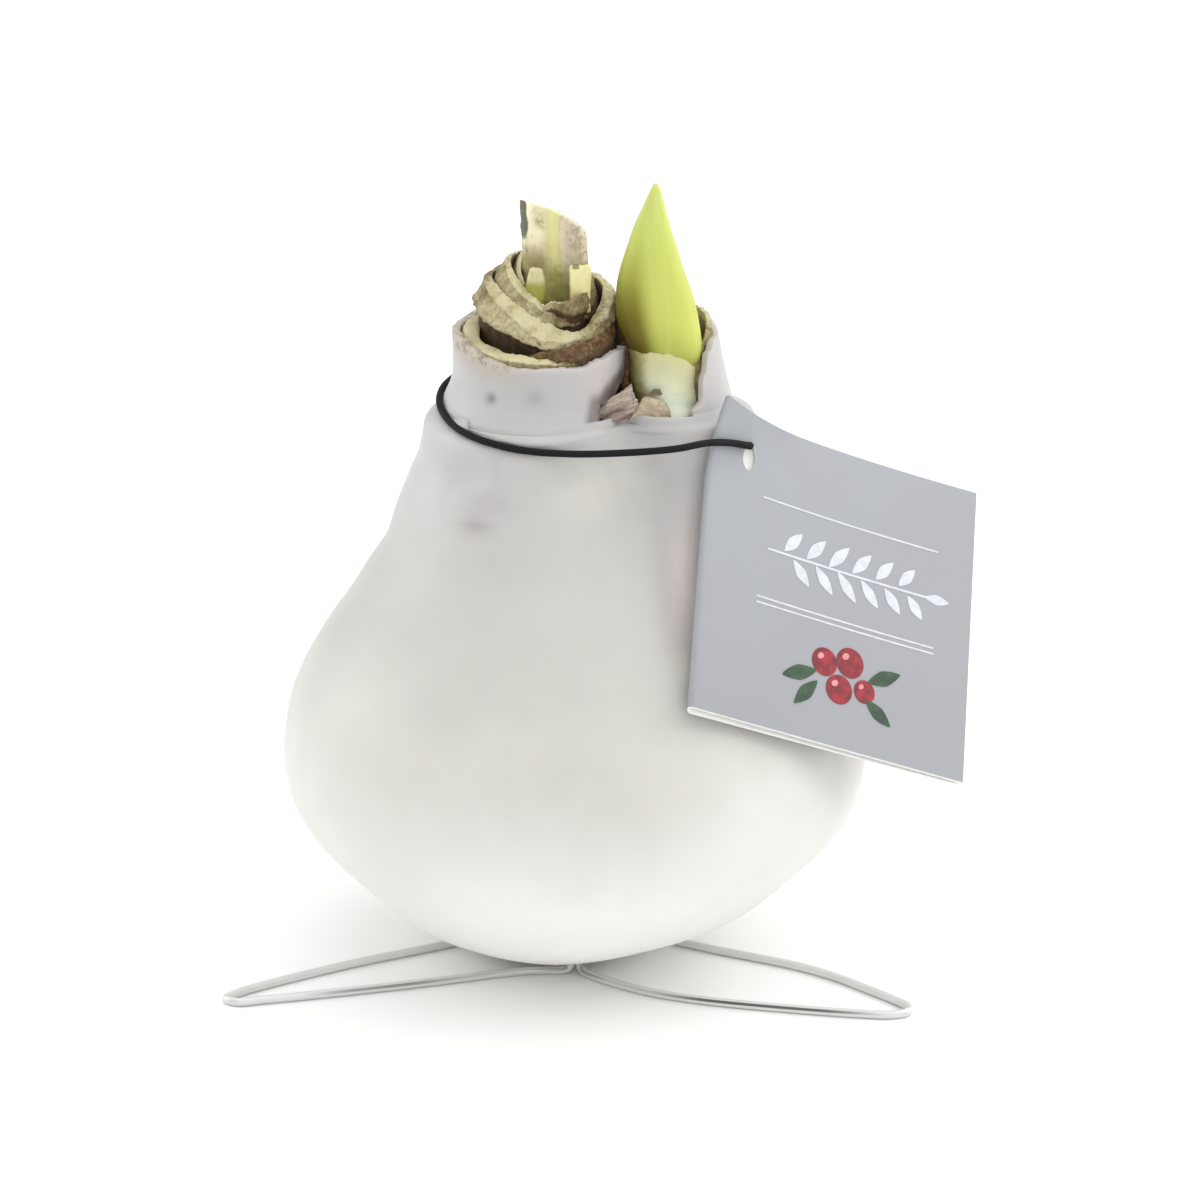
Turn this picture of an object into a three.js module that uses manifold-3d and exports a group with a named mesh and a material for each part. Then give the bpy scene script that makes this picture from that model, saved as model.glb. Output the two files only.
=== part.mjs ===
// A waxed amaryllis bulb on a bent wire stand, with its flower bud, the cut neck
// it grew beside, a black elastic and a folded hang tag.
// Millimetres, +Z up. The bulb is modelled round its own axis, standing on the
// plane z = 0, and the whole group is then moved so that its origin is the
// bottom centre of its bounding box.

import * as THREE from 'three';
import { mergeVertices } from 'three/addons/utils/BufferGeometryUtils.js';
import Module from 'manifold-3d';

const wasm = await Module();
wasm.setup();

// ---------------------------------------------------------------- dimensions

const CLEARANCE = 0.3;          // gap between solids that touch on the real thing
const AROUND = 36;              // facets round the bulb

const WIRE = 1.4;               // diameter of the stand's wire
const WAX = 1.7;                // thickness of the wax on the bulb
const NECK_WAX = 1.2;           // on its thinner neck
const SHOULDER_WAX = 1.4;       // and on the shoulder between the necks

const BASE_Z = WIRE + CLEARANCE;        // the waxed base lies on the wire
const BELLY_RADIUS = 48;                // half of the bulb's 96 mm over the wax
const SHOULDER_Z = 94.2;                // wax rim between and in front of the necks
const BASE_LEAN = -3.2;                 // the base sits a little to the left ...
const NECK_LEAN = 6;                    // ... and the necks' common middle to the right
const NECK_RADIUS = 23.3;               // outline radius that stands for the necks' own outline

// The bulb's two necks: a wide cut one, and a narrower one that holds the bud.
const CUT_NECK = { x: -5.7, y: 0, radius: 14.1, rim: 104.4 };
const BUD_NECK = { x: 15.4, y: 1, radius: 10.6, rim: 107.4, topRadius: 8.4, topX: 14.6 };

const BUD = { x: 14.2, y: -2.6, upperX: 12.35, tipX: 12.9, tipZ: 132, foot: 90, depth: 0.74,
  waist: 4.75 };
const BUD_FILM = 0.6;           // wax on the bud's foot
const BUD_FILM_TOP = 105.4;     // its edge, and how it slopes down to the right
const BUD_FILM_SLOPE = -0.46;

const TAG_SIDE = 51;
const TAG_CARD = 0.6;           // thickness of one leaf of the folded card
const TAG_GAP = 0.35;           // between the leaves at the fold
const TAG_SPREAD = 0.008;       // slope between the leaves
const TAG_SLIP = 1.1;           // how far the back leaf hangs below the front one at the fold
const TAG_CORNER = new THREE.Vector3(21.9, -6.3, 95.8);     // upper left, before it curls
const TAG_ALONG = new THREE.Vector3(0.861, 0.333, -0.385);  // along its top edge
const TAG_DOWN = new THREE.Vector3(-0.065, -0.665, -0.744);  // down its fold
const TAG_CURL = 7.6;           // how far the neck pushes the corner out
const TAG_BOW = 1.5;            // and how far the whole fold bows
const TAG_HOLE = { along: 8.2, down: 5.6, radius: 2.1 };

const ELASTIC = 1.3;            // diameter of the cord

// The stand's two prongs in the base: half their distance, and how high they reach.
const PRONG = { apart: 0.7, y: -14.2, top: 15, room: 0.6 };

// ------------------------------------------------------------------- helpers

const smoothstep = THREE.MathUtils.smoothstep;
const lerp = THREE.MathUtils.lerp;
const point = (x, y, z) => new THREE.Vector3(x, y, z);

// Turns a closed three.js geometry into a manifold-3d solid.
function solid(geometry) {
  const bare = geometry.clone();
  bare.deleteAttribute('normal');
  bare.deleteAttribute('uv');
  const merged = mergeVertices(bare, 1e-4);
  const mesh = new wasm.Mesh({
    numProp: 3,
    vertProperties: new Float32Array(merged.attributes.position.array),
    triVerts: new Uint32Array(merged.index.array),
  });
  return new wasm.Manifold(mesh);
}

// Turns a solid back into a geometry.
function geometryOf(body) {
  const { vertProperties, triVerts } = body.getMesh();
  const geometry = new THREE.BufferGeometry();
  geometry.setAttribute('position', new THREE.BufferAttribute(vertProperties, 3));
  geometry.setIndex(new THREE.BufferAttribute(triVerts, 1));
  geometry.computeVertexNormals();
  return geometry;
}

// The largest of a solid's separate bodies, without the scraps that a cut leaves.
function mainBody(body) {
  return body.decompose().reduce((best, piece) => (piece.volume() > best.volume() ? piece : best));
}

// Moves every vertex of a geometry with a function that changes a point in place.
function warp(geometry, change) {
  const places = geometry.attributes.position;
  const place = new THREE.Vector3();
  for (let i = 0; i < places.count; i += 1) {
    place.fromBufferAttribute(places, i);
    change(place);
    places.setXYZ(i, place.x, place.y, place.z);
  }
  return geometry;
}

// A body of revolution round +Z from [radius, height] pairs, listed upwards on
// its outside, so that its faces point out.
function turned(outline, around = AROUND) {
  const profile = outline.map(([radius, height]) => new THREE.Vector2(radius, height));
  return new THREE.LatheGeometry(profile, around).rotateX(Math.PI / 2);
}

// A smooth run of [radius, height] pairs through a few of them.
function smoothRun(pairs, count) {
  const curve = new THREE.SplineCurve(pairs.map(([x, y]) => new THREE.Vector2(x, y)));
  return curve.getPoints(count).map((place) => [place.x, place.y]);
}

// A tube along a curve. Its steps follow the curve's own points, so that a tight
// bend gets as many of them as a long run.
function tube(curve, diameter, steps, sides) {
  curve.getUtoTmapping = (u) => u;
  const section = new THREE.Shape();
  for (let i = 0; i < sides; i += 1) {
    const angle = ((i + 0.5) / sides) * 2 * Math.PI;
    const reach = diameter / 2 / Math.cos(Math.PI / sides);
    const corner = [reach * Math.cos(angle), reach * Math.sin(angle)];
    if (i === 0) section.moveTo(...corner);
    else section.lineTo(...corner);
  }
  return new THREE.ExtrudeGeometry(section, { extrudePath: curve, steps });
}

// A small fixed unevenness round an axis, between about -1 and 1.
function uneven(angle, phase) {
  return 0.5 * Math.sin(2 * angle + phase) + 0.3 * Math.sin(5 * angle + 2.1 * phase)
    + 0.2 * Math.sin(11 * angle + 3.3 * phase);
}

// ------------------------------------------------------------- bulb and wax

// The bulb's outline over the wax: [radius, height].
const OUTLINE = [
  [14.5, BASE_Z], [19.3, 4.1], [26.7, 7.9], [32.7, 12], [38.2, 17.5], [43.1, 23.2], [46.8, 29.8],
  [BELLY_RADIUS, 37], [46.5, 46.5], [41.4, 56], [36, 64], [32.1, 72], [30.9, 79], [29.4, 85.5],
  [28.5, 90], [27.2, 92.4], [25.4, 93.6], [24.6, SHOULDER_Z],
];
const OUTER_ROWS = 24;
const INNER_ROWS = 14;

// The same outline moved inwards by a thickness, with fewer rows inside.
function insetOutline(inset) {
  const side = smoothRun(OUTLINE, inset > 0 ? INNER_ROWS : OUTER_ROWS);
  return side.map(([radius, height], i) => {
    const before = side[Math.max(i - 1, 0)];
    const after = side[Math.min(i + 1, side.length - 1)];
    const run = new THREE.Vector2(after[0] - before[0], after[1] - before[1]).normalize();
    return [radius - inset * run.y, Math.max(height + inset * run.x, BASE_Z + inset)];
  });
}

// How far a ray from the necks' middle runs inside either neck.
function neckReach(angle, inset) {
  const ray = new THREE.Vector2(Math.cos(angle), Math.sin(angle));
  const blend = 3.5;
  const reach = [CUT_NECK, BUD_NECK].map((neck) => {
    const centre = new THREE.Vector2(neck.x - NECK_LEAN, neck.y);
    const along = centre.dot(ray);
    const missSquared = centre.lengthSq() - along * along;
    return along + Math.sqrt(Math.max((neck.radius - inset) ** 2 - missSquared, 0));
  });
  return Math.log(Math.exp(reach[0] / blend) + Math.exp(reach[1] / blend)) * blend - 0.8;
}

// Takes a point of the round bulb to the real one, whose base and neck lean
// sideways and whose shoulder grows into the outline of two necks.
function shapeBulb(inset) {
  return (place) => {
    const angle = Math.atan2(place.y, place.x);
    const radius = Math.hypot(place.x, place.y);
    const neck = smoothstep(place.z, 60, 91);
    const base = 1 - smoothstep(place.z, BASE_Z, 16);
    const reach = (radius / (NECK_RADIUS - inset)) * neckReach(angle, inset);
    const bulge = 1 + 0.006 * uneven(angle, 1.3) * smoothstep(place.z, 8, 30) * (1 - neck);
    const round = radius * bulge;
    const shaped = lerp(round, reach, neck);
    place.x = BASE_LEAN * base + NECK_LEAN * neck + shaped * Math.cos(angle);
    place.y = shaped * Math.sin(angle);
  };
}

function bulbBody(inset, top) {
  const side = insetOutline(inset).filter(([, height]) => height < top);
  const last = side[side.length - 1];
  const outline = [[0, BASE_Z + inset], ...side, [last[0], top], [0, top]];
  return solid(warp(turned(outline), shapeBulb(inset)));
}

// The cut neck: a tube that rises to its left.
function cutNeck(inset, top, foot) {
  const radius = CUT_NECK.radius - inset;
  const outline = [[0, foot], [radius, foot], [radius + 1.1, SHOULDER_Z + 0.2], [radius + 0.4, 96.4],
    [radius, 99], [radius, 102], [radius - 0.2, top], [0, top]];
  return warp(turned(outline, 36), (place) => {
    const angle = Math.atan2(place.y, place.x);
    const edge = smoothstep(place.z, 99, top);
    const left = Math.max(-Math.cos(angle), 0) ** 3;
    place.z += edge * (4.2 * left + 1.6 * Math.max(Math.sin(angle), 0) + 0.45 * uneven(angle, 0.4));
    place.x += CUT_NECK.x;
    place.y += CUT_NECK.y;
  });
}

// The bud's neck: a cone that leans to the left.
function budNeck(inset, top, foot) {
  const { x, y, radius, rim, topRadius, topX } = BUD_NECK;
  const at = (height) => THREE.MathUtils.mapLinear(height, SHOULDER_Z, rim, 0, 1);
  const reach = (height) => lerp(radius, topRadius, at(height)) - inset;
  const heights = [foot, SHOULDER_Z, 98, 102, 105, top];
  const outline = [[0, foot], ...heights.map((height) => [reach(height), height]), [0, top]];
  outline[1][0] = reach(SHOULDER_Z);
  return warp(turned(outline, 32), (place) => {
    const angle = Math.atan2(place.y, place.x);
    const edge = smoothstep(place.z, 102, top);
    place.x += lerp(x, topX, at(place.z));
    place.y += y;
    place.z += edge * 0.9 * uneven(angle, 2.2);
  });
}

// The front of the bud's neck is open above this outline, seen from the front.
function frontGap() {
  const edge = [[3.8, SHOULDER_Z + 0.2], [6, SHOULDER_Z - 0.2], [10, SHOULDER_Z + 0.4],
    [15, SHOULDER_Z - 0.1], [19.6, SHOULDER_Z + 0.8], [20.6, 97.5], [20.4, 100], [21.4, 102.5],
    [21.5, 105], [23.2, 107.5], [26, 112], [8.5, 112], [8.5, 104.3], [7.2, 102.4], [6.3, 100.2],
    [5, 98.4], [3.7, 96.4], [3.4, 95]];
  const opening = new THREE.Shape(edge.map(([x, z]) => new THREE.Vector2(x, z)));
  const front = new THREE.ExtrudeGeometry(opening, { depth: 24, bevelEnabled: false });
  return solid(front.rotateX(Math.PI / 2).translate(0, BUD_NECK.y - 2, 0));
}

// Room in the base for the stand's two prongs.
function prongRoom(margin) {
  const outline = new THREE.Shape();
  const radius = WIRE / 2 + margin;
  outline.absarc(PRONG.apart, PRONG.y, radius, -Math.PI / 2, Math.PI / 2, false);
  outline.absarc(-PRONG.apart, PRONG.y, radius, Math.PI / 2, 1.5 * Math.PI, false);
  const depth = PRONG.top + margin;
  return solid(new THREE.ExtrudeGeometry(outline, { depth, bevelEnabled: false, curveSegments: 5 }));
}

function waxCoat() {
  const outside = bulbBody(0, SHOULDER_Z)
    .add(solid(cutNeck(0, CUT_NECK.rim, 84)))
    .add(solid(budNeck(0, BUD_NECK.rim, 88)));
  const inside = bulbBody(WAX, SHOULDER_Z - SHOULDER_WAX)
    .add(solid(cutNeck(NECK_WAX, 125, 84)))
    .add(solid(budNeck(NECK_WAX, 125, 88)));
  return mainBody(outside.subtract(inside)
    .subtract(frontGap())
    .subtract(budSolid(BUD_FILM + 2 * CLEARANCE))
    .subtract(prongRoom(PRONG.room)));
}

// ------------------------------------------------------------------ the bud

// Half-width of the green bud at each height.
const BUD_OUTLINE = [[4.7, 94], [BUD.waist, 100], [BUD.waist, BUD_FILM_TOP - 1.4], [5.4, BUD_FILM_TOP + 0.6],
  [6.2, 108.6], [6.55, 112], [6.15, 115.2], [5.05, 118], [3.95, 121], [2.7, 124.7], [1.6, 128.2],
  [0.6, 131.2]];

// Flattens the bud, leans it, and draws its wax line down to the right.
function shapeBud(place) {
  const angle = Math.atan2(place.y, place.x);
  const middle = lerp(BUD.x, BUD.upperX, smoothstep(place.z, 104, 119));
  const tip = (BUD.tipX - BUD.upperX) * smoothstep(place.z, 124, BUD.tipZ);
  const keel = Math.max(Math.cos(angle - 3.6), 0) ** 10 * 0.07 * smoothstep(place.z, 100, 112);
  const band = smoothstep(place.z, 94, 101) * (1 - smoothstep(place.z, 105.5, 115));
  place.z += BUD_FILM_SLOPE * place.x * band;
  place.x = middle + tip + place.x * (1 + keel);
  place.y = BUD.y + place.y * (BUD.depth + keel);
}

function budSolid(margin) {
  const side = BUD_OUTLINE.map(([radius, height]) => [radius + margin, height]);
  const outline = [[0, BUD.foot - margin], [3.4 + margin, BUD.foot - margin], ...side,
    [0, BUD.tipZ + margin]];
  return solid(warp(turned(outline, 24), shapeBud));
}

function budFilm() {
  const inner = BUD.waist + CLEARANCE;
  const outer = inner + BUD_FILM;
  const foot = SHOULDER_Z - 1.2;
  const outline = [[outer - 0.2, foot], [outer, 100], [outer, BUD_FILM_TOP - 1.2],
    [outer - 0.2, BUD_FILM_TOP - 0.6], [inner + 0.05, BUD_FILM_TOP - 0.8], [inner, 100],
    [inner, foot], [outer - 0.2, foot]];
  return solid(warp(turned(outline, 24), shapeBud));
}

// ------------------------------------------------- scales of the cut neck

// Cut edges of the scale layers, from the outside in. Each is a ring of the
// given radius whose edge lies at a height that rises with slopeX and slopeY,
// and stands up by lift at the back left.
const LAYERS = [
  { x: -5.6, y: 0, radius: 11.7, wall: 1.5, z: 107.3, slopeX: -0.09, slopeY: 0.17, lift: 0, phase: 0.7 },
  { x: -4.7, y: 0.2, radius: 9.8, wall: 2.7, z: 112, slopeX: -0.2, slopeY: 0.42, lift: 0, phase: 2.1 },
  { x: -4.4, y: 0.9, radius: 7.3, wall: 1.9, z: 113.7, slopeX: -0.13, slopeY: 0.5, lift: 1.6, phase: 4.0 },
  { x: -3.5, y: 0.6, radius: 5.1, wall: 1.2, z: 114.7, slopeX: -0.05, slopeY: 0.4, lift: 3, phase: 5.2 },
];

function layerRing({ x, y, radius, wall, z, slopeX, slopeY, lift, phase }) {
  const outer = radius + wall / 2;
  const inner = radius - wall / 2;
  const deep = 7;
  const outline = [[inner, -deep], [outer, -deep], [outer, -1], [outer - 0.3 * wall, -0.1],
    [inner + 0.2 * wall, -0.2], [inner, -1.1], [inner, -deep]];
  return solid(warp(turned(outline, 26), (place) => {
    const angle = Math.atan2(place.y, place.x);
    const stretch = (1 + 0.035 * uneven(angle, phase)) * (1 + 0.025 * place.z);
    const raised = lift * Math.max(Math.cos(angle - 0.75 * Math.PI), 0) ** 2;
    place.z += z + slopeX * place.x + slopeY * place.y + raised + 0.35 * uneven(angle, phase + 1);
    place.x = x + place.x * stretch;
    place.y = y + place.y * stretch;
  }));
}

// The flesh between the layers.
function moundCore() {
  const outline = [[0, 100], [12, 100], [12, 102.6], [9.6, 103.2], [8.3, 106.4], [6.8, 107.4],
    [5.9, 110], [4.3, 110.8], [3.4, 111.8], [0, 112]];
  return solid(warp(turned(outline, 28), (place) => {
    const top = smoothstep(place.z, 102, 110);
    place.z += top * (0.3 * place.y - 0.12 * place.x);
    place.x += lerp(CUT_NECK.x, -4, top);
    place.y += 0.8 * top;
  }));
}

// The dry scale that stands behind the bud, inside the wax.
function budScale() {
  const shell = NECK_WAX + CLEARANCE;
  const wall = 1.0;
  return solid(budNeck(shell, BUD_NECK.rim + 1.6, 88))
    .subtract(solid(budNeck(shell + wall, BUD_NECK.rim + 4, SHOULDER_Z - 2)));
}

function bulb() {
  const body = bulbBody(WAX + CLEARANCE, SHOULDER_Z - SHOULDER_WAX - CLEARANCE);
  const neck = solid(cutNeck(NECK_WAX + CLEARANCE, 103.2, 84));
  const scales = LAYERS.map(layerRing);
  return mainBody(body.add(neck).add(moundCore())
    .add(budScale())
    .add(wasm.Manifold.union(scales))
    .subtract(frontGap())
    .subtract(budSolid(BUD_FILM + 2 * CLEARANCE))
    .subtract(prongRoom(PRONG.room))
    .subtract(cutLeaf(CLEARANCE))
    .subtract(greenStub(CLEARANCE))
    .subtract(paleStub(CLEARANCE)));
}

// ------------------------------------------- leaves cut off above the neck

// A tall cut leaf: a curved blade, cut off along a slope.
function cutLeaf(margin) {
  const centre = new THREE.Vector2(-3.2, -3.4);
  const outer = 7.1 + margin;
  const inner = 5.7 - margin;
  const from = 0.62 - margin / 7;
  const to = 2.42 + margin / 7;
  const section = new THREE.Shape();
  section.absarc(centre.x, centre.y, outer, from, to, false);
  section.absarc(centre.x, centre.y, inner, to, from, true);
  const foot = 110 - margin;
  const height = 128.4 + margin - foot;
  const blade = new THREE.ExtrudeGeometry(section, {
    depth: height, bevelEnabled: false, curveSegments: 9, steps: 3 });
  return solid(warp(blade, (place) => {
    const rise = place.z / height;
    const slope = 5.6 * smoothstep(place.x, -8.5, 3.5);
    place.x -= 0.5 * rise;
    place.z = foot + place.z - slope * rise;
  }));
}

function stub(x, y, width, depth, foot, top, margin) {
  const outline = [[0, foot - margin], [0.5 + margin, foot - margin], [0.5 + margin, top - 1.4],
    [0.42 + margin, top - 0.5], [0.2 + margin, top + margin], [0, top + margin]];
  return solid(warp(turned(outline, 12), (place) => {
    place.x = x + place.x * width;
    place.y = y + place.y * depth;
  }));
}

const greenStub = (margin) => stub(-6.1, -2.3, 3.3, 2.4, 110.8, 117.4, margin);
const paleStub = (margin) => stub(1.1, -1.6, 2.6, 1.8, 110.8, 119.2, margin);

// ------------------------------------------------------- dry papery scraps

// A thin scrap with a torn outline, standing on the shoulder and bent round it.
function scrap(outline, y, bend) {
  const shape = new THREE.Shape(outline.map(([x, z]) => new THREE.Vector2(x, z)));
  const sheet = new THREE.ExtrudeGeometry(shape, { depth: 0.7, bevelEnabled: false });
  sheet.rotateX(Math.PI / 2);
  const middle = outline.reduce((sum, [x]) => sum + x / outline.length, 0);
  return warp(sheet, (place) => {
    place.y += y + bend * (place.x - middle) ** 2 + 0.12 * (place.z - SHOULDER_Z);
  });
}

// --------------------------------------------------------- tag and elastic

// A place on the tag: along its top edge, down its fold, and out of its face.
function onTag(along, down, out) {
  const corner = Math.max(1 - along / 19 - down / 14, 0);
  const bow = TAG_BOW * (1 - along / TAG_SIDE) ** 2 * (1 - down / (1.2 * TAG_SIDE));
  const push = out + TAG_CURL * corner ** 2 + bow;
  const face = new THREE.Vector3().crossVectors(TAG_DOWN, TAG_ALONG).normalize();
  return TAG_CORNER.clone().addScaledVector(TAG_ALONG, along)
    .addScaledVector(TAG_DOWN, down).addScaledVector(face, push);
}

// One folded card: a flat sheet, bent round its middle into two leaves. The back
// leaf hangs a little lower at the fold.
function tag() {
  const round = (TAG_GAP + TAG_CARD) / 2;
  const halfFold = (Math.PI / 2) * round;
  const sheet = warp(new THREE.BoxGeometry(2, TAG_SIDE, TAG_CARD, 26, 9, 1), (place) => {
    const along = Math.sign(place.x) * place.x ** 2 * (TAG_SIDE + halfFold);
    const turn = THREE.MathUtils.clamp(along / round, -Math.PI / 2, Math.PI / 2);
    const leaf = Math.max(Math.abs(along) - halfFold, 0);
    const reach = round + place.z;
    const behind = along < 0 ? 1 : 0;
    const slip = behind * TAG_SLIP * Math.min(-along / halfFold, 1) * (1 - leaf / TAG_SIDE);
    const out = reach * Math.sin(turn) - round - TAG_CARD / 2 - behind * TAG_SPREAD * leaf;
    place.copy(onTag(leaf - reach * Math.cos(turn), TAG_SIDE / 2 - place.y + slip, out));
  });
  const punch = new THREE.CylinderGeometry(TAG_HOLE.radius, TAG_HOLE.radius, 8, 16);
  punch.translate(TAG_HOLE.along, 0, TAG_HOLE.down);
  return solid(sheet).subtract(solid(warp(punch, (place) => {
    place.copy(onTag(place.x, place.z, place.y));
  })));
}

// The elastic: round both necks and through the tag's hole, as a closed loop.
function elastic() {
  const front = onTag(TAG_HOLE.along, TAG_HOLE.down - 0.9, 0.8);
  const behind = onTag(TAG_HOLE.along + 0.2, TAG_HOLE.down - 0.9, -2.4);
  const above = onTag(TAG_HOLE.along + 0.6, 0, -2.9);
  const route = [
    front, point(24.6, -15.4, 93.3), point(16, -17.2, 92.6), point(8, -17.7, 92.1),
    point(-1, -17.6, 91.9), point(-9, -16.6, 92.3), point(-15.7, -13.9, 93.4), point(-19.8, -8.2, 94.2),
    point(-21.8, -1, 95.5), point(-20.6, 6.2, 96.6), point(-16, 11.8, 97.6), point(-8, 15.4, 98.2),
    point(2, 15.8, 98.2), point(12, 14.4, 97.8), point(21, 11, 96.6), point(27.4, 5, 95.2),
    above, behind,
  ];
  const curve = new THREE.CatmullRomCurve3(route, true, 'centripetal');
  return new THREE.TubeGeometry(curve, 64, ELASTIC / 2, 8, true);
}

// --------------------------------------------------------------- wire stand

// The stand's wire: three loops flat on the ground, joined by inward bends under
// the base. Its two ends meet in front and turn up into the bulb as prongs.
function wireStand() {
  const flat = [
    [3.6, -17.0], [8.1, -20.2], [13.6, -23.2], [21, -25.7], [32, -28.2], [46, -30.6], [51.2, -31],
    [53.9, -30.1], [54.3, -28.1], [52.4, -25.7], [48.4, -21.8], [43, -16.8], [37, -12.7],
    [21.4, -5.2], [15.4, -1.6], [11.6, 3.6], [10.3, 10], [9.7, 23], [8.2, 39], [6, 50],
    [3.6, 57.5], [1.6, 60.6], [-1.6, 60.6], [-3.6, 57.5], [-6, 50], [-8.2, 39], [-9.7, 23],
    [-10.3, 10], [-11.6, 4.4], [-15.6, -0.6], [-21.6, -4], [-37, -11.6], [-51.6, -20.2],
    [-55.6, -23.2], [-57, -25.1], [-55.2, -26.3], [-51, -25.5], [-36, -22], [-20.4, -17.8],
    [-13, -15.6], [-7.5, -14.4],
  ];
  const ground = WIRE / 2;
  const bend = 1.5;
  const prong = (side) => [PRONG.top, 8, 4, ground + bend]
    .map((height) => point(side * PRONG.apart, PRONG.y, height));
  const turn = (side, alongX, alongY) => [
    point(side * PRONG.apart + 0.3 * bend * alongX, PRONG.y + 0.3 * bend * alongY, ground + 0.3 * bend),
    point(side * PRONG.apart + bend * alongX, PRONG.y + bend * alongY, ground),
  ];
  const route = [
    ...prong(1), ...turn(1, 0.71, -0.71),
    ...flat.map(([x, y]) => point(x, y, ground)),
    ...turn(-1, -1, 0).reverse(), ...prong(-1).reverse(),
  ];
  const curve = new THREE.CatmullRomCurve3(route, false, 'centripetal');
  return warp(tube(curve, WIRE, 2 * (route.length - 1), 8), (place) => {
    place.z = Math.max(place.z, 0);
  });
}

// ---------------------------------------------------------------- the group

const finish = (color, roughness, metalness = 0) => new THREE.MeshStandardMaterial({
  color, roughness, metalness, flatShading: true });

const group = new THREE.Group();

function place(name, geometry, material) {
  const mesh = new THREE.Mesh(geometry, material);
  mesh.name = name;
  group.add(mesh);
}

const NOTCH_SCRAP = [[4.3, 94.7], [9.6, 94.5], [10.2, 96.6], [8.8, 99.2], [7.6, 98.2], [6.2, 99.4],
  [5.2, 97.4]];
const FOOT_SCRAP = [[11, 94.8], [15.6, 94.6], [15, 96.6], [13.4, 97.4], [11.7, 96.4]];

place('wax_coat', geometryOf(waxCoat()), finish('#ece9e2', 0.42));
place('bulb', geometryOf(bulb()), finish('#cdbf93', 0.75));
place('flower_bud', geometryOf(budSolid(0)), finish('#c9dc62', 0.4));
place('bud_wax', geometryOf(budFilm()), finish('#e6e4da', 0.42));
place('cut_leaf', geometryOf(cutLeaf(0)), finish('#c3ba85', 0.6));
place('leaf_stub_green', geometryOf(greenStub(0)), finish('#9aa84a', 0.5));
place('leaf_stub_pale', geometryOf(paleStub(0)), finish('#e2dd9c', 0.5));
place('notch_scale', scrap(NOTCH_SCRAP, -8.4, 0.03), finish('#8a6f58', 0.8));
place('foot_scale', scrap(FOOT_SCRAP, -8.6, 0.02), finish('#c9b391', 0.8));
place('elastic_cord', elastic(), finish('#101010', 0.7));
place('tag', geometryOf(tag()), finish('#b6bbc2', 0.6));
place('wire_stand', wireStand(), finish('#c8c9c6', 0.25, 1));

const box = new THREE.Box3().setFromObject(group);
const middle = box.getCenter(new THREE.Vector3());
group.position.set(-middle.x, -middle.y, -box.min.z);
group.updateMatrixWorld(true);

export default group;
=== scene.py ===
"""A waxed amaryllis bulb on a wire stand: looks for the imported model.

The pieces are modelled in millimetres round the bulb's own axis, standing on
z = 0, as the CAD's are, and are then taken to the frame in metres.
"""

import math

import bmesh
import bpy
from mathutils import Matrix, Vector, noise
from mathutils.bvhtree import BVHTree


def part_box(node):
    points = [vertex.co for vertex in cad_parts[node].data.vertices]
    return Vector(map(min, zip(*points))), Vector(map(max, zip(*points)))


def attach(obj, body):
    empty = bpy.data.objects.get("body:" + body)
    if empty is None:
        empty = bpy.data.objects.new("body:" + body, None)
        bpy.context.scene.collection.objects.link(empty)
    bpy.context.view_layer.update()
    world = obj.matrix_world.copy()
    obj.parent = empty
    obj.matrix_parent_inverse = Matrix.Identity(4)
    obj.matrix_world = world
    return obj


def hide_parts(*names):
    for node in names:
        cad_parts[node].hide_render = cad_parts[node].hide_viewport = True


bl_info = {
    "name": "Waxed Amaryllis Bulb",
    "version": (1, 0, 0),
    "blender": (4, 5, 0),
    "location": "View3D > Sidebar > Bulb",
    "description": "Builds a waxed amaryllis bulb on a wire stand, with its bud, elastic and tag",
    "category": "Object",
}

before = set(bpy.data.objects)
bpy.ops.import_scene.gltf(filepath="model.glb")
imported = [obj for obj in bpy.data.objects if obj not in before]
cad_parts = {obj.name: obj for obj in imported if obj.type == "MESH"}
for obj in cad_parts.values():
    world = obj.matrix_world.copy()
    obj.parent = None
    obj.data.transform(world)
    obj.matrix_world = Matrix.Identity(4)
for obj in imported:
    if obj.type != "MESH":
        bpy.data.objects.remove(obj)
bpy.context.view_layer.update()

MM = 0.001

# The bulb's axis in the frame, in millimetres, from the green stub's place.
GREEN_STUB_AT = Vector((-6.1, -2.3, 0))
AXIS = sum(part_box("leaf_stub_green"), Vector()) / 2 / MM - GREEN_STUB_AT
AXIS.z = 0

# ------------------------------------------------------------------ dimensions

BASE_Z = 1.7                    # the waxed base lies on the wire
SHOULDER_Z = 94.2               # top of the shoulder, between and in front of the necks
BASE_LEAN = -3.2
NECK_LEAN = 6.0
NECK_RADIUS = 23.3
OUTLINE = [
    (14.5, BASE_Z), (19.3, 4.1), (26.7, 7.9), (32.7, 12), (38.2, 17.5), (43.1, 23.2), (46.8, 29.8),
    (48, 37), (46.5, 46.5), (41.4, 56), (36, 64), (32.1, 72), (30.9, 79), (29.4, 85.5),
    (28.6, 90), (28.0, 92.2), (27.0, 93.4), (25.6, 94.0), (24.6, SHOULDER_Z),
]

# ------------------------------------------------------------------- arithmetic


def clamp(value, low=0.0, high=1.0):
    return min(max(value, low), high)


def lerp(low, high, part):
    return low + (high - low) * part


def smoothstep(value, low, high):
    part = clamp((value - low) / (high - low))
    return part * part * (3 - 2 * part)


def uneven(angle, phase):
    """A small fixed unevenness round an axis, between about -1 and 1."""
    return (0.5 * math.sin(2 * angle + phase) + 0.3 * math.sin(5 * angle + 2.1 * phase)
            + 0.2 * math.sin(11 * angle + 3.3 * phase))


def angle_of(place):
    """The direction of a place from the axis."""
    return math.atan2(place.y, place.x)


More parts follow.
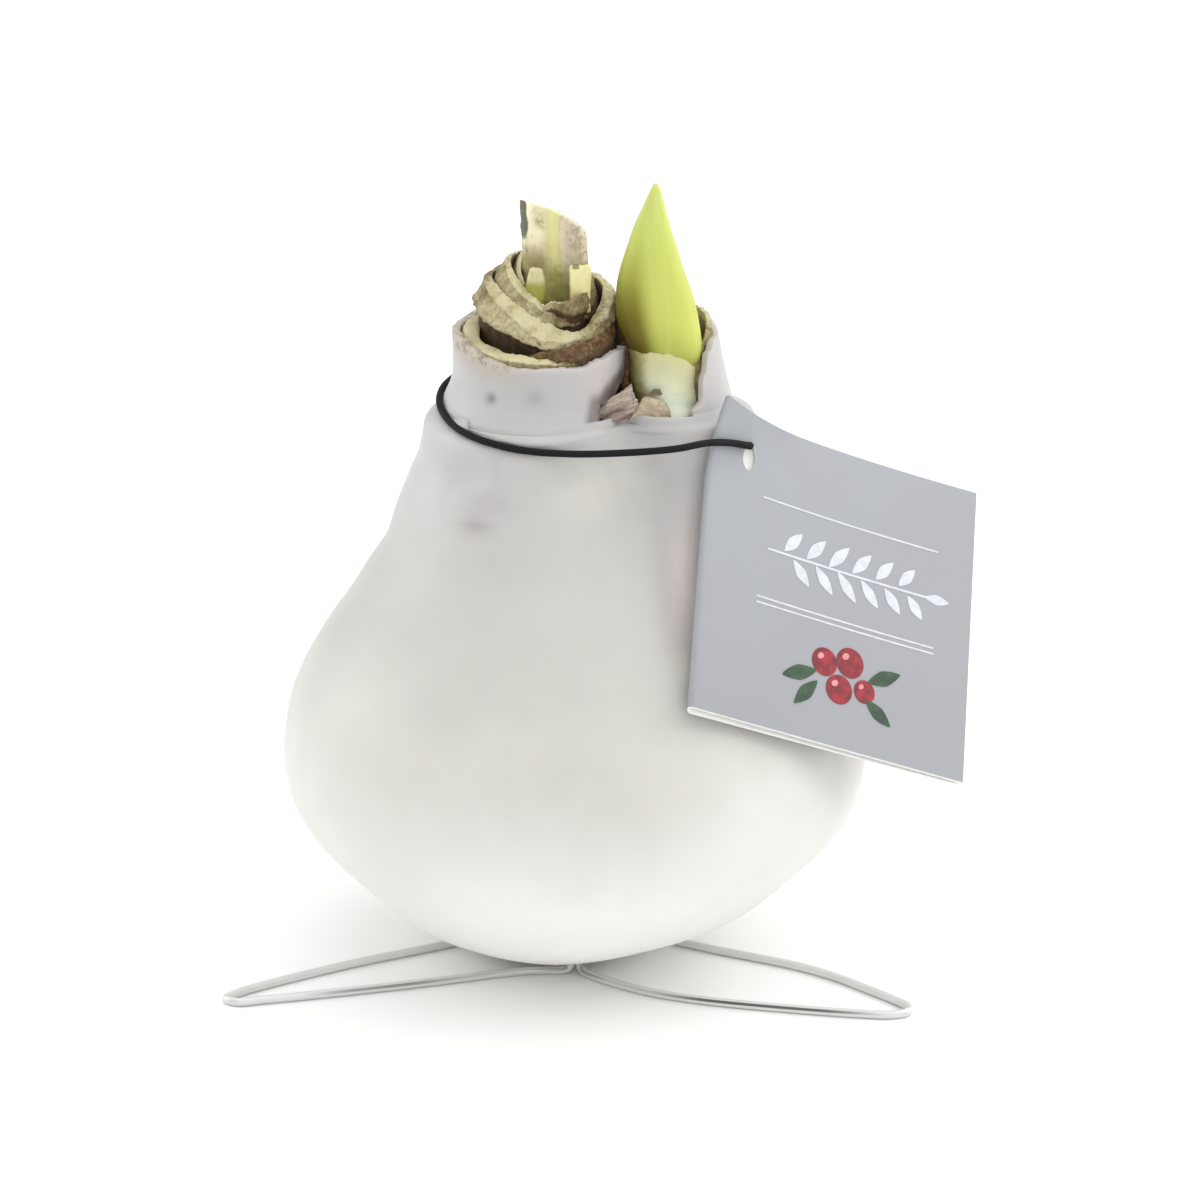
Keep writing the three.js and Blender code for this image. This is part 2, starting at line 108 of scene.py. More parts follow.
def polar(radius, angle, z=0.0, middle_x=0.0):
    """The place at a distance and in a direction from an axis."""
    return Vector((middle_x + radius * math.cos(angle), radius * math.sin(angle), z))


def along_table(pairs, at):
    """The value at a place in a list of (place, value) pairs, eased between them."""
    if at <= pairs[0][0]:
        return pairs[0][1]
    for (before, low), (after, high) in zip(pairs, pairs[1:]):
        if at <= after:
            return lerp(low, high, smoothstep(at, before, after))
    return pairs[-1][1]


def through(places, steps, closed=False):
    """A smooth run through places, with so many steps from each to the next."""
    count = len(places)
    spans = count if closed else count - 1
    run = []
    for span in range(spans):
        if closed:
            four = [places[(span + shift) % count] for shift in (-1, 0, 1, 2)]
        else:
            before = places[span - 1] if span > 0 else 2 * places[0] - places[1]
            after = places[span + 2] if span + 2 < count else 2 * places[-1] - places[-2]
            four = [before, places[span], places[span + 1], after]
        gap = [max((four[i + 1] - four[i]).length, 1e-6) ** 0.5 for i in range(3)]
        leave = ((four[1] - four[0]) / gap[0] - (four[2] - four[0]) / (gap[0] + gap[1])
                 + (four[2] - four[1]) / gap[1]) * gap[1]
        reach = ((four[2] - four[1]) / gap[1] - (four[3] - four[1]) / (gap[1] + gap[2])
                 + (four[3] - four[2]) / gap[2]) * gap[1]
        bend = 3 * (four[2] - four[1]) - 2 * leave - reach
        twist = 2 * (four[1] - four[2]) + leave + reach
        for step in range(steps):
            part = step / steps
            run.append(four[1] + part * (leave + part * (bend + part * twist)))
    if not closed:
        run.append(places[-1].copy())
    return run


def roughness_at(place, size, phase=0.0, octaves=3):
    """Smooth noise between about -1 and 1 whose lumps are so many millimetres wide."""
    return noise.fractal(place / size + Vector((phase, 7 * phase, -3 * phase)), 1.0, 2.0, octaves)


# ---------------------------------------------------------------- mesh helpers


def smooth_profile(pairs, steps):
    """(radius, height) pairs as a smooth run, with so many steps from each to the next."""
    return [(place.x, place.z) for place in through([Vector((r, 0, z)) for r, z in pairs], steps)]


def add_layers(bm, names):
    """Float layers of the vertices, by name, which the materials read as attributes."""
    return {name: bm.verts.layers.float.new(name) for name in names}


def face_outward(bm):
    """Turns all faces of a mesh's shells the same way, outward where they are closed."""
    bmesh.ops.recalc_face_normals(bm, faces=bm.faces[:])


def revolve(bm, profile, steps, closed=False):
    """Spins (radius, height) pairs round +Z. A closed profile makes a ring."""
    verts = [bm.verts.new((radius, 0, height)) for radius, height in profile]
    pairs = list(zip(verts, verts[1:]))
    if closed:
        pairs.append((verts[-1], verts[0]))
    edges = [bm.edges.new(pair) for pair in pairs]
    before = set(bm.verts) - set(verts)
    bmesh.ops.spin(bm, geom=verts + edges, cent=(0, 0, 0), axis=(0, 0, 1), dvec=(0, 0, 0),
                   angle=2 * math.pi, steps=steps, use_merge=True)
    made = [vert for vert in bm.verts if vert not in before]
    bmesh.ops.remove_doubles(bm, verts=made, dist=1e-4)
    return [vert for vert in bm.verts if vert not in before]


def sweep(bm, path, radius, sides, closed=False):
    """Carries a circle along a path, and keeps how far along each vertex is."""
    along_layer = bm.verts.layers.float.new("along")
    count = len(path)
    ring = bmesh.ops.create_circle(bm, cap_ends=False, radius=radius, segments=sides)["verts"]
    edges = list({edge for vert in ring for edge in vert.link_edges})
    first_edges = edges
    placed = Matrix.Identity(4)
    side = (path[1] - path[0]).orthogonal()
    distance = 0.0
    for index, place in enumerate(path):
        after = path[(index + 1) % count] if closed or index + 1 < count else place
        before = path[index - 1] if closed or index > 0 else place
        ahead = (after - before).normalized()
        side = (side - ahead * side.dot(ahead)).normalized()
        across = ahead.cross(side)
        turn = Matrix((side, across, ahead)).transposed().to_4x4()
        goal = Matrix.Translation(place) @ turn
        if index > 0:
            grown = bmesh.ops.extrude_edge_only(bm, edges=edges)["geom"]
            ring = [part for part in grown if isinstance(part, bmesh.types.BMVert)]
            edges = [edge for edge in grown if isinstance(edge, bmesh.types.BMEdge)
                     and all(vert in set(ring) for vert in edge.verts)]
            distance += (place - path[index - 1]).length
        bmesh.ops.transform(bm, matrix=goal @ placed.inverted(), verts=ring)
        placed = goal
        for vert in ring:
            vert[along_layer] = distance
    if closed:
        bmesh.ops.bridge_loops(bm, edges=first_edges + edges)
    else:
        for rim in (first_edges, edges):
            bmesh.ops.holes_fill(bm, edges=rim)


HOLLOW_REACH = 3.5              # how far each ray looks for another wall
HOLLOW_RAYS = [(0.0, 0)]        # tilt from the normal and turn round it, in degrees
HOLLOW_RAYS += [(35.0, 60 * step) for step in range(6)]
HOLLOW_RAYS += [(65.0, 51.4 * step + 20) for step in range(7)]


def mark_hollows(bm, layer, above):
    """Keeps how far the mesh itself closes each vertex in, from 0 to 1, for the shade painted in
    hollows.
    """
    bm.normal_update()
    tree = BVHTree.FromBMesh(bm)
    for vert in bm.verts:
        if vert.co.z < above:
            continue
        side = vert.normal.orthogonal().normalized()
        across = vert.normal.cross(side)
        hidden = 0.0
        for tilt, turn in HOLLOW_RAYS:
            flat = math.sin(math.radians(tilt))
            ray = (vert.normal * math.cos(math.radians(tilt))
                   + side * flat * math.cos(math.radians(turn))
                   + across * flat * math.sin(math.radians(turn)))
            distance = tree.ray_cast(vert.co + vert.normal * 0.08, ray, HOLLOW_REACH)[3]
            if distance is not None:
                hidden += 1 - 0.6 * distance / HOLLOW_REACH
        vert[layer] = hidden / len(HOLLOW_RAYS)


def add_wall(piece, thickness, offset):
    """Gives a sheet a wall, on one side or on both."""
    wall = piece.modifiers.new("wall", "SOLIDIFY")
    wall.thickness = thickness
    wall.offset = offset


def new_piece(name, bm, material, replaced=(), sharp=0, extra_materials=()):
    """Takes a bmesh from the bulb's axis to the frame and makes a smooth piece of it.

    Edges that turn by more than sharp degrees stay sharp, if that is given.
    """
    for vert in bm.verts:
        vert.co = (vert.co + AXIS) * MM
    mesh = bpy.data.meshes.new(name)
    bm.to_mesh(mesh)
    bm.free()
    mesh.shade_smooth()
    if sharp:
        mesh.set_sharp_from_angle(angle=math.radians(sharp))
    for entry in (material, *extra_materials):
        mesh.materials.append(entry)
    piece = bpy.data.objects.new(name, mesh)
    bpy.context.scene.collection.objects.link(piece)
    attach(piece, "root")
    if replaced:
        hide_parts(*replaced)
    return piece


# ------------------------------------------------------------------ node helpers


class Finish:
    """A node material under construction."""

    def __init__(self, name):
        self.material = bpy.data.materials.new(name)
        self.material.use_nodes = True
        self.nodes = self.material.node_tree.nodes
        self.links = self.material.node_tree.links
        self.shader = self.nodes["Principled BSDF"]
        self.object_place = self.node("ShaderNodeTexCoord").outputs["Object"]

    def node(self, kind, settings=(), inputs=()):
        made = self.nodes.new(kind)
        for key, value in dict(settings).items():
            setattr(made, key, value)
        for key, value in dict(inputs).items():
            self.feed(made.inputs[key], value)
        return made

    def feed(self, socket, value):
        if isinstance(value, bpy.types.NodeSocket):
            self.links.new(value, socket)
        else:
            socket.default_value = value

    def attribute(self, name):
        return self.node("ShaderNodeAttribute", {"attribute_name": name}).outputs["Fac"]

    def math(self, operation, first, second=0.5):
        made = self.node("ShaderNodeMath", {"operation": operation}, {0: first, 1: second})
        return made.outputs[0]

    def times(self, first, second):
        return self.math("MULTIPLY", first, second)

    def rest_of(self, value):
        """What a value between 0 and 1 leaves of 1."""
        return self.math("SUBTRACT", 1.0, value)

    def swing(self, value, width):
        """Takes noise between 0 and 1 to both sides of 0, and scales it."""
        return self.times(self.math("SUBTRACT", value, 0.5), width)

    def ranged(self, value, low, high, to_low=0.0, to_high=1.0):
        made = self.node("ShaderNodeMapRange", {"interpolation_type": "SMOOTHSTEP"},
                         {"Value": value, "From Min": low, "From Max": high,
                          "To Min": to_low, "To Max": to_high})
        return made.outputs["Result"]

    def stretched(self, scale):
        """The object's coordinates, scaled for each axis."""
        made = self.node("ShaderNodeMapping", {}, {"Vector": self.object_place, "Scale": scale})
        return made.outputs["Vector"]

    def noise(self, size, detail=4.0, roughness=0.55, place=None):
        """Noise whose lumps are so many millimetres wide."""
        made = self.node("ShaderNodeTexNoise", {},
                         {"Vector": place or self.object_place, "Scale": 1 / (size * MM),
                          "Detail": detail, "Roughness": roughness})
        return made.outputs["Fac"]

    def blend(self, part, first, second):
        made = self.node("ShaderNodeMix", {"data_type": "RGBA"}, {0: part, 6: first, 7: second})
        return made.outputs[2]

    def tint(self, tone, part, color, share=None):
        """Lays a colour over a tone where part is 1, or by that share of it."""
        return self.blend(part if share is None else self.times(part, share), tone, color)

    def ramp(self, value, stops):
        made = self.node("ShaderNodeValToRGB", {}, {"Fac": value})
        elements = made.color_ramp.elements
        while len(elements) < len(stops):
            elements.new(0.5)
        for element, (place, color) in zip(elements, stops):
            element.position = place
            element.color = tuple(color)
        return made.outputs["Color"]

    def bump(self, height, distance, strength=1.0, normal=None):
        made = self.node("ShaderNodeBump", {}, {"Height": height, "Distance": distance * MM,
                                                "Strength": strength})
        if normal is not None:
            self.feed(made.inputs["Normal"], normal)
        return made.outputs["Normal"]

    def axis(self, name, vector=None):
        """One axis of a vector, or of the object's coordinates."""
        made = self.node("ShaderNodeSeparateXYZ", {}, {0: vector or self.object_place})
        return made.outputs[name]

    def height_mm(self):
        """Height above the floor, in millimetres."""
        return self.math("DIVIDE", self.axis("Z"), MM)

    def finish(self, color, roughness, normal=None, **constants):
        self.feed(self.shader.inputs["Base Color"], color)
        self.feed(self.shader.inputs["Roughness"], roughness)
        if normal is not None:
            self.feed(self.shader.inputs["Normal"], normal)
        for key, value in constants.items():
            self.shader.inputs[key.replace("_", " ")].default_value = value
        return self.material


def paint(red, green, blue):
    """A colour given as 0 to 255 values, as Blender's linear ones."""
    linear = []
    for value in (red, green, blue):
        share = value / 255
        linear.append(share / 12.92 if share <= 0.04045 else ((share + 0.055) / 1.055) ** 2.4)
    return (*linear, 1.0)


# ------------------------------------------------------------------------ wax

CUT_NECK = Vector((-5.7, 0))
CUT_RADIUS = 14.1
BUD_RADIUS = 10.6               # at the foot of the bud's neck ...
BUD_TOP_RADIUS = 8.4            # ... and at its rim
BUD_NECK_X = (15.4, 14.6)       # its middle, at its foot and at its rim
BUD_NECK_Y = 1.0
BUD_RIM = 107.4
NECK_FOOT = 95.6                # the necks' wall rises evenly above this height
NECK_STEP = 0.5
NECK_ROWS = 27
LIP_ROWS = 5                    # its lowest rows turn in over the shoulder, in the gap
RIM = [                         # height of the wax rim by direction, in degrees
    (-180, 107.4), (-168, 107.6), (-160, 106.8), (-152, 105.5), (-140, 104.5), (-126, 104.5),
    (-112, 104.3), (-100, 104.8), (-86, 105.3), (-60, 105.1), (-35, 104.7), (-33, 96.0),
    (-28, 97.0), (-22.5, 101.2), (-15.5, 104.8), (-8, 106.0), (4, 106.9), (16, 108.0), (30, 108.6),
    (50, 108.2), (75, 106.7), (96, 105.6), (120, 106.6), (150, 107.6), (180, 107.4),
]
GAP_FROM = -102.3               # the front of the bud's neck is open between these directions
GAP_TO = -33.0
TORN = [                        # height of the torn edge of the cut neck's wall, by direction
    (-102.3, 95.4), (-95, 96.9), (-86, 98.2), (-76, 99.4), (-62, 100.8), (-50, 102.4),
    (-34.7, 104.7),
]
# the painted shade along the torn edge reaches round to this direction
EDGE_SHADE_TO = -45.0
DIMPLES = [                     # place on the wax, radius, depth and darkness
    (Vector((-13.3, -12.2, 99.3)), 0.9, 0.5, 1.0), (Vector((-6.3, -14.4, 99.9)), 1.3, 0.1, 0.4),
    (Vector((-19.6, -15.5, 90.5)), 1.0, 0.5, 1.0),
]
MARKS = {                       # soft marks in front: x, z, half width, half height and strength
    "stain": [(-15.6, 80.4, 2.8, 1.3, 0.5), (-13.6, 83.6, 4.0, 1.8, 0.22),
              (-19.0, 88.0, 3.0, 3.0, 0.15)],
    "cream": [(3.0, 85.0, 5.5, 3.4, 0.6), (7.4, 87.6, 2.8, 3.0, 0.5), (17.6, 61.6, 0.9, 1.7, 1.0)],
    # the rosy mark is painted light: a pink painted reflection of the tag that lifts the wax where
    # the tag's shade falls
    "rosy_painted_light": [(17.2, 71.5, 2.4, 7.0, 0.9)],
}
# By height: how much slimmer the left is, and the middle and depth of the valley in front.
LEFT_TRIM = [(66, 0), (73, 0.6), (83, 1.0), (87.5, 1.5), (93.6, 1.3), (94.6, 0)]
VALLEY_MIDDLE = [(58, 19.5), (67, 17.4), (84, 14.1), (89.5, 11.3)]
VALLEY_DEPTH = [(58, 0.0), (67, 0.6), (84, 1.0), (89.5, 0.5)]
VALLEY_WIDTH = 3.2


def neck_reach(angle, z, only_cut=0.0):
    """How far the necks' wall stands from their common middle."""
    ray = Vector((math.cos(angle), math.sin(angle)))
    rise = clamp((z - SHOULDER_Z) / (BUD_RIM - SHOULDER_Z))
    flare = 1.1 * (1 - smoothstep(z, 94.4, 98.6))
    flare += max(-ray.x, 0) ** 2 * smoothstep(z, 93.6, 95.6) * (1 - smoothstep(z, 96, 101))
    circles = [
        (CUT_NECK, CUT_RADIUS + flare),
        (Vector((lerp(*BUD_NECK_X, rise), BUD_NECK_Y)), lerp(BUD_RADIUS, BUD_TOP_RADIUS, rise)),
    ]
    reach = []
    for middle, radius in circles:
        centre = middle - Vector((NECK_LEAN, 0))
        ahead = centre.dot(ray)
        reach.append(ahead + math.sqrt(max(radius ** 2 - centre.length_squared + ahead ** 2, 0)))
    blend = lerp(1.3, 3.5, 1 - smoothstep(z, 90, 96))
    both = math.log(sum(math.exp(far / blend) for far in reach)) * blend
    both -= lerp(0.2, 0.8, 1 - smoothstep(z, 90, 96))
    return lerp(both, reach[0], only_cut)


def shape_wax(radius, angle, z):
    """A point of the round bulb, taken to the real one."""
    neck = smoothstep(z, 60, 91)
    base = 1 - smoothstep(z, BASE_Z, 16)
    reach = radius / NECK_RADIUS * neck_reach(angle, z)
    bulge = 1 + 0.006 * uneven(angle, 1.3) * smoothstep(z, 8, 30) * (1 - neck)
    shaped = lerp(radius * bulge, reach, neck)
    leftness = max(-math.cos(angle), 0) ** 1.5
    shaped -= along_table(LEFT_TRIM, z) * leftness
    swell = smoothstep(z, 8, 20) * (1 - smoothstep(z, 28, 42))
    shaped += swell * (0.9 * leftness + 0.5 * max(math.cos(angle), 0) * smoothstep(z, 18, 26))
    return Vector((BASE_LEAN * base + NECK_LEAN * neck + shaped * math.cos(angle),
                   shaped * math.sin(angle), z))


def wax_profile():
    """(radius, height) rows of the outside, from the middle of the base to the necks' rim."""
    rows = [(0.0, BASE_Z)] + [(radius, BASE_Z) for radius in (4, 8, 11.5)]
    rows += [(radius, max(z, BASE_Z)) for radius, z in smooth_profile(OUTLINE, 5)]
    rows += [(24.15, 94.45), (23.8, 94.85), (23.55, 95.3)]
    return rows + [(NECK_RADIUS, NECK_FOOT + NECK_STEP * row) for row in range(NECK_ROWS)]


def shape_neck(angle, share, level):
    """A point of the necks' wall, so much of the way up to its rim, and its height."""
    degrees = math.degrees(angle)
    ring = polar(8, angle)
    top = along_table(RIM, degrees) + 0.35 * roughness_at(ring, 1.6, 3.0)
    top += 0.25 * roughness_at(ring, 0.45, 7.0)
    height = lerp(NECK_FOOT, top, share)
    cut_side = smoothstep(degrees, GAP_FROM - 6, GAP_FROM) * (degrees < GAP_TO - 0.5)
    place = polar(neck_reach(angle, height, cut_side), angle, height, NECK_LEAN)
    gap = smoothstep(degrees, GAP_FROM, GAP_FROM + 3)
    gap *= 1 - smoothstep(degrees, GAP_TO - 1.5, GAP_TO)
    if level < LIP_ROWS and gap > 0:
        fall = (level + 1) / LIP_ROWS
        inward = neck_reach(angle, SHOULDER_Z) - 0.3 - 1.9 * fall
        lip = polar(inward, angle, SHOULDER_Z + 0.7 - 1.9 * fall ** 2, NECK_LEAN)
        place = place.lerp(lip, gap)
    return place, height


def mark_neck(vert, layers, angle, share, height):
    """Marks where the wax of the necks' wall is torn or soiled, and where shade is painted along
    its torn edge.
    """
    degrees = math.degrees(angle)
    leftness = smoothstep(-math.cos(angle), 0.55, 0.95)
    soiled = leftness * smoothstep(share, 0.5, 1.0)
    ragged = smoothstep(share, 0.93, 1.0) * (0.5 + 0.5 * leftness)
    from_gap = min(abs(degrees - GAP_FROM), abs(degrees - GAP_TO)) / 14
    split = 0.8 * (1 - clamp(from_gap)) * smoothstep(share, 0.2, 0.5)
    vert[layers["torn"]] = max(ragged, soiled, split)
    # painted shade along the torn edge, where the wall's thickness lies in shade
    if GAP_FROM - 8 < degrees < EDGE_SHADE_TO:
        above = height - along_table(TORN, degrees)
        torn_edge_shade = (1 - smoothstep(above, 2.4, 5.2)) * (1 - smoothstep(height, 101, 104))
        vert[layers["torn_edge_shade"]] = torn_edge_shade * smoothstep(degrees, GAP_FROM - 8, GAP_FROM - 2)


def open_front(bm, levels):
    """Opens the front of the bud's neck, under the torn edge of the cut neck's wall."""
    doomed = []
    for face in bm.faces:
        if min(levels[vert] for vert in face.verts) < LIP_ROWS - 1.5:
            continue
        centre = face.calc_center_median()
        degrees = math.degrees(math.atan2(centre.y, centre.x - NECK_LEAN))
        if GAP_FROM < degrees < GAP_TO + 0.4:
            edge = along_table(TORN, degrees) + 0.5 * roughness_at(centre, 1.2, 5.0)
            if centre.z < edge or degrees > GAP_TO - 2:
                doomed.append(face)
    bmesh.ops.delete(bm, geom=doomed, context="FACES")
    loose = [vert for vert in bm.verts if not vert.link_faces]
    bmesh.ops.delete(bm, geom=loose, context="VERTS")


def weather_wax(bm, layers):
    """The hand-dipped surface: slow waves, a valley under the necks, dimples and marks."""
    for vert in bm.verts:
        place = vert.co.copy()
        upper = smoothstep(place.z, 88, 100)
        change = 0.32 * roughness_at(place, 17, 1.0, 2) * (1 - 0.5 * upper)
        change += 0.16 * roughness_at(place, 5, 2.0, 2) * (0.35 + 0.65 * upper)
        if place.y < 0 and 56 < place.z < 93:
            aside = (place.x - along_table(VALLEY_MIDDLE, place.z)) / VALLEY_WIDTH
            change -= 1.1 * along_table(VALLEY_DEPTH, place.z) * math.exp(-aside ** 2)
        if place.y < 0:
            for name, marks in MARKS.items():
                layer = layers[name]
                for x, z, wide, tall, strength in marks:
                    away = ((place.x - x) / wide) ** 2 + ((place.z - z) / tall) ** 2
                    vert[layer] = max(vert[layer], strength * math.exp(-away))
        for dimple, radius, depth, darkness in DIMPLES:
            away = (place - dimple).length / radius
            if away < 3:
                change -= depth * math.exp(-away ** 2)
                vert[layers["stain"]] = max(vert[layers["stain"]], darkness * math.exp(-away ** 2))
        vert.co += vert.normal * change * smoothstep(place.z, BASE_Z, 8)


def build_wax(settings, elastic):
    bm = bmesh.new()
    layers = add_layers(bm, ["torn", "torn_edge_shade", *MARKS])
    levels = {}
    for vert in revolve(bm, wax_profile(), settings.facets):
        radius = math.hypot(vert.co.x, vert.co.y)
        angle = angle_of(vert.co)
        z = vert.co.z
        levels[vert] = (z - NECK_FOOT) / NECK_STEP
        if z < NECK_FOOT - 0.01:
            vert.co = shape_wax(radius, angle, z)
        else:
            share = levels[vert] / (NECK_ROWS - 1)
            vert.co, height = shape_neck(angle, share, levels[vert])
            mark_neck(vert, layers, angle, share, height)
    open_front(bm, levels)
    face_outward(bm)
    weather_wax(bm, layers)
    press_elastic(bm, elastic.diameter / MM)
    shell = new_piece("wax_shell", bm, wax_finish(settings), ["wax_coat"])
    add_wall(shell, settings.wall, -1)
    lip = shell.modifiers.new("lip", "BEVEL")
    lip.width = 0.22 * MM
    lip.segments = 2
    lip.limit_method = "ANGLE"
    lip.angle_limit = math.radians(60)
    return shell


def press_elastic(bm, thickness):
    """Presses the wax in where the elastic lies on it, in a soft groove."""
    path = through(elastic_route(thickness), 6, closed=True)
    clear = thickness / 2 + 0.12
    near = [vert for vert in bm.verts if 85 < vert.co.z < 103]
    need = {}
    outward = {}
    for vert in near:
        nearest = min(path, key=lambda place: (place - vert.co).length_squared)
        away = vert.co - nearest
        outward[vert] = (nearest - Vector((NECK_LEAN, 0, nearest.z))).normalized()
        need[vert] = 0.0
        if away.length < 3 * clear and abs(away.z) < clear:
            need[vert] = max(away.dot(outward[vert]) + math.sqrt(clear ** 2 - away.z ** 2), 0)
    push = dict(need)
    for _ in range(14):
        smoother = {}
        for vert in near:
            beside = [push[edge.other_vert(vert)] for edge in vert.link_edges
                      if edge.other_vert(vert) in push]
            smoother[vert] = max(need[vert], sum(beside) / max(len(beside), 1))
        push = smoother
    for vert in near:
        vert.co -= outward[vert] * push[vert]


def wax_finish(settings):
    f = Finish("dipped_wax")
    height = f.height_mm()
    cloud = f.noise(26, 3)
    tinted = f.math("ADD", height, f.swing(cloud, 26))
    # The wax greys towards the necks, partly where the brown bulb shows through and partly as
    # painted shade; the foot is painted light, as if lit from the floor below.
    tone = f.ramp(f.math("DIVIDE", tinted, 110), [
        (0.0, settings.foot_color), (0.2, paint(237, 235, 230)), (0.42, paint(213, 211, 204)),
        (0.58, paint(196, 194, 188)), (0.76, paint(199, 197, 194)), (0.92, settings.neck_color)])
    patches = f.ranged(f.noise(9, 5, 0.6), 0.52, 0.74)
    upper = f.ranged(height, 62, 92)
    tone = f.tint(tone, f.times(patches, f.times(upper, 0.5)), paint(184, 180, 184))
    lilac = f.ranged(f.noise(15, 3, 0.5, f.stretched((1, 1, 0.45))), 0.5, 0.72)
    tone = f.tint(tone, f.times(lilac, f.times(upper, 0.3)), paint(206, 199, 207))
    uneven_marks = f.noise(3.5, 4, 0.6)
    # the rosy mark is painted light beside the tag, a pink painted reflection lifting its shade
    for name, color in (("cream", paint(224, 221, 207)), ("rosy_painted_light", paint(236, 222, 219)),
                        ("stain", paint(138, 133, 134))):
        mark = f.times(f.attribute(name), f.ranged(uneven_marks, 0.25, 0.6, 0.75, 1.0))
        tone = f.tint(tone, mark, color)
    crumbs = f.noise(0.9, 4, 0.7)
    torn = f.attribute("torn")
    rightward = f.ranged(f.axis("X"), (AXIS.x - 12) * MM, AXIS.x * MM)
    soil = f.blend(rightward, paint(186, 172, 150), paint(208, 192, 188))
    tone = f.tint(tone, f.times(torn, f.ranged(crumbs, 0.35, 0.62, 0.35, 0.95)), soil)
    # painted shade along the torn edge of the cut neck's wall
    torn_edge_shade = f.times(f.attribute("torn_edge_shade"), f.ranged(uneven_marks, 0.3, 0.6, 0.7, 0.95))
    tone = f.tint(tone, torn_edge_shade, paint(104, 90, 84))
    specks = f.times(f.ranged(f.noise(0.7, 3, 0.7), 0.6, 0.68), f.ranged(torn, 0.25, 0.7))
    specks = f.times(specks, f.rest_of(rightward))
    tone = f.tint(tone, specks, paint(104, 88, 68), 0.8)
    rot = f.times(f.ranged(f.noise(1.9, 4, 0.7), 0.5, 0.6), f.ranged(torn, 0.6, 0.95))
    rot = f.times(rot, f.rest_of(rightward))
    tone = f.tint(tone, rot, paint(122, 110, 84), 0.65)
    ripple = f.bump(f.noise(6.5, 3, 0.5), 0.5, 0.35)
    fine = f.bump(f.noise(0.8, 3, 0.6), 0.04, 0.4, ripple)
    flaky = f.bump(f.times(crumbs, torn), 0.35, 0.6, fine)
    gloss = f.ranged(f.noise(12, 4), 0.3, 0.7, 0.4, 0.52)
    f.finish(tone, gloss, flaky, Subsurface_Weight=0.25, Subsurface_Scale=0.004, IOR=1.44)
    f.shader.inputs["Subsurface Radius"].default_value = (1.0, 0.9, 0.8)
    return f.material


# ------------------------------------------------------------------------ bud

BUD_X = 14.2
BUD_Y = -2.6
BUD_UPPER_X = 12.35
BUD_TIP = (12.9, 132.0)
BUD_WAIST = 4.75
WAX_LINE = 105.4                # where the wax on the bud ends
WAX_LINE_FALL = 0.13            # and how it falls to the right
BUD_DEPTH = 0.74
BUD_FACETS = 128
FILM_FACETS = 120
FILM_GAP = 0.22                 # the film stands off the bud, and is so thick
FILM_WALL = 0.62
FILM_ROWS = 26
BUD_OUTLINE = [
    (3.4, 90), (4.7, 94), (4.75, 100), (4.75, 103.4), (5.35, 105.2), (6.2, 107), (6.65, 109),
    (6.4, 112), (5.75, 115.2), (5.0, 118), (4.1, 121), (3.1, 124.2), (1.95, 127.6), (0.85, 130.8),
]


def shape_bud(place, fold=1.0):
    """Flattens the bud, leans it, folds its sheath and slopes its wax line."""
    angle = angle_of(place)
    middle = lerp(BUD_X, BUD_UPPER_X, smoothstep(place.z, 104, 119))
    tip = (BUD_TIP[0] - BUD_UPPER_X) * smoothstep(place.z, 124, BUD_TIP[1])
    keel = max(math.cos(angle - 3.6), 0) ** 10 * 0.07 * smoothstep(place.z, 100, 112)
    # the sheath's edge laps over at the front left, with a groove beside it
    lap = angle + math.radians(122 - 3 * math.sin(place.z / 7))
    groove = -0.03 * math.exp(-(lap / 0.12) ** 2) + 0.018 * math.exp(-((lap + 0.26) / 0.16) ** 2)
    groove *= smoothstep(place.z, 104, 109) * (1 - 0.5 * smoothstep(place.z, 120, 131))
    keel += fold * groove
    band = smoothstep(place.z, 94, 101) * (1 - smoothstep(place.z, 105.5, 115))
    fall = WAX_LINE_FALL * max(place.x + 0.6, 0) ** 1.8
    return Vector((middle + tip + place.x * (1 + keel), BUD_Y + place.y * (BUD_DEPTH + keel),
                   place.z - fall * band))


def build_bud(settings):
    bm = bmesh.new()
    layers = add_layers(bm, ("turn", "rise"))
    profile = [(0, 90)] + smooth_profile(BUD_OUTLINE, 6) + [(0.34, 131.75), (0, BUD_TIP[1])]
    for vert in revolve(bm, profile, BUD_FACETS):
        vert[layers["turn"]] = angle_of(vert.co)
        vert[layers["rise"]] = vert.co.z
        vert.co = shape_bud(vert.co)
    face_outward(bm)
    return new_piece("bud_sheath", bm, bud_finish(settings), ["flower_bud"])


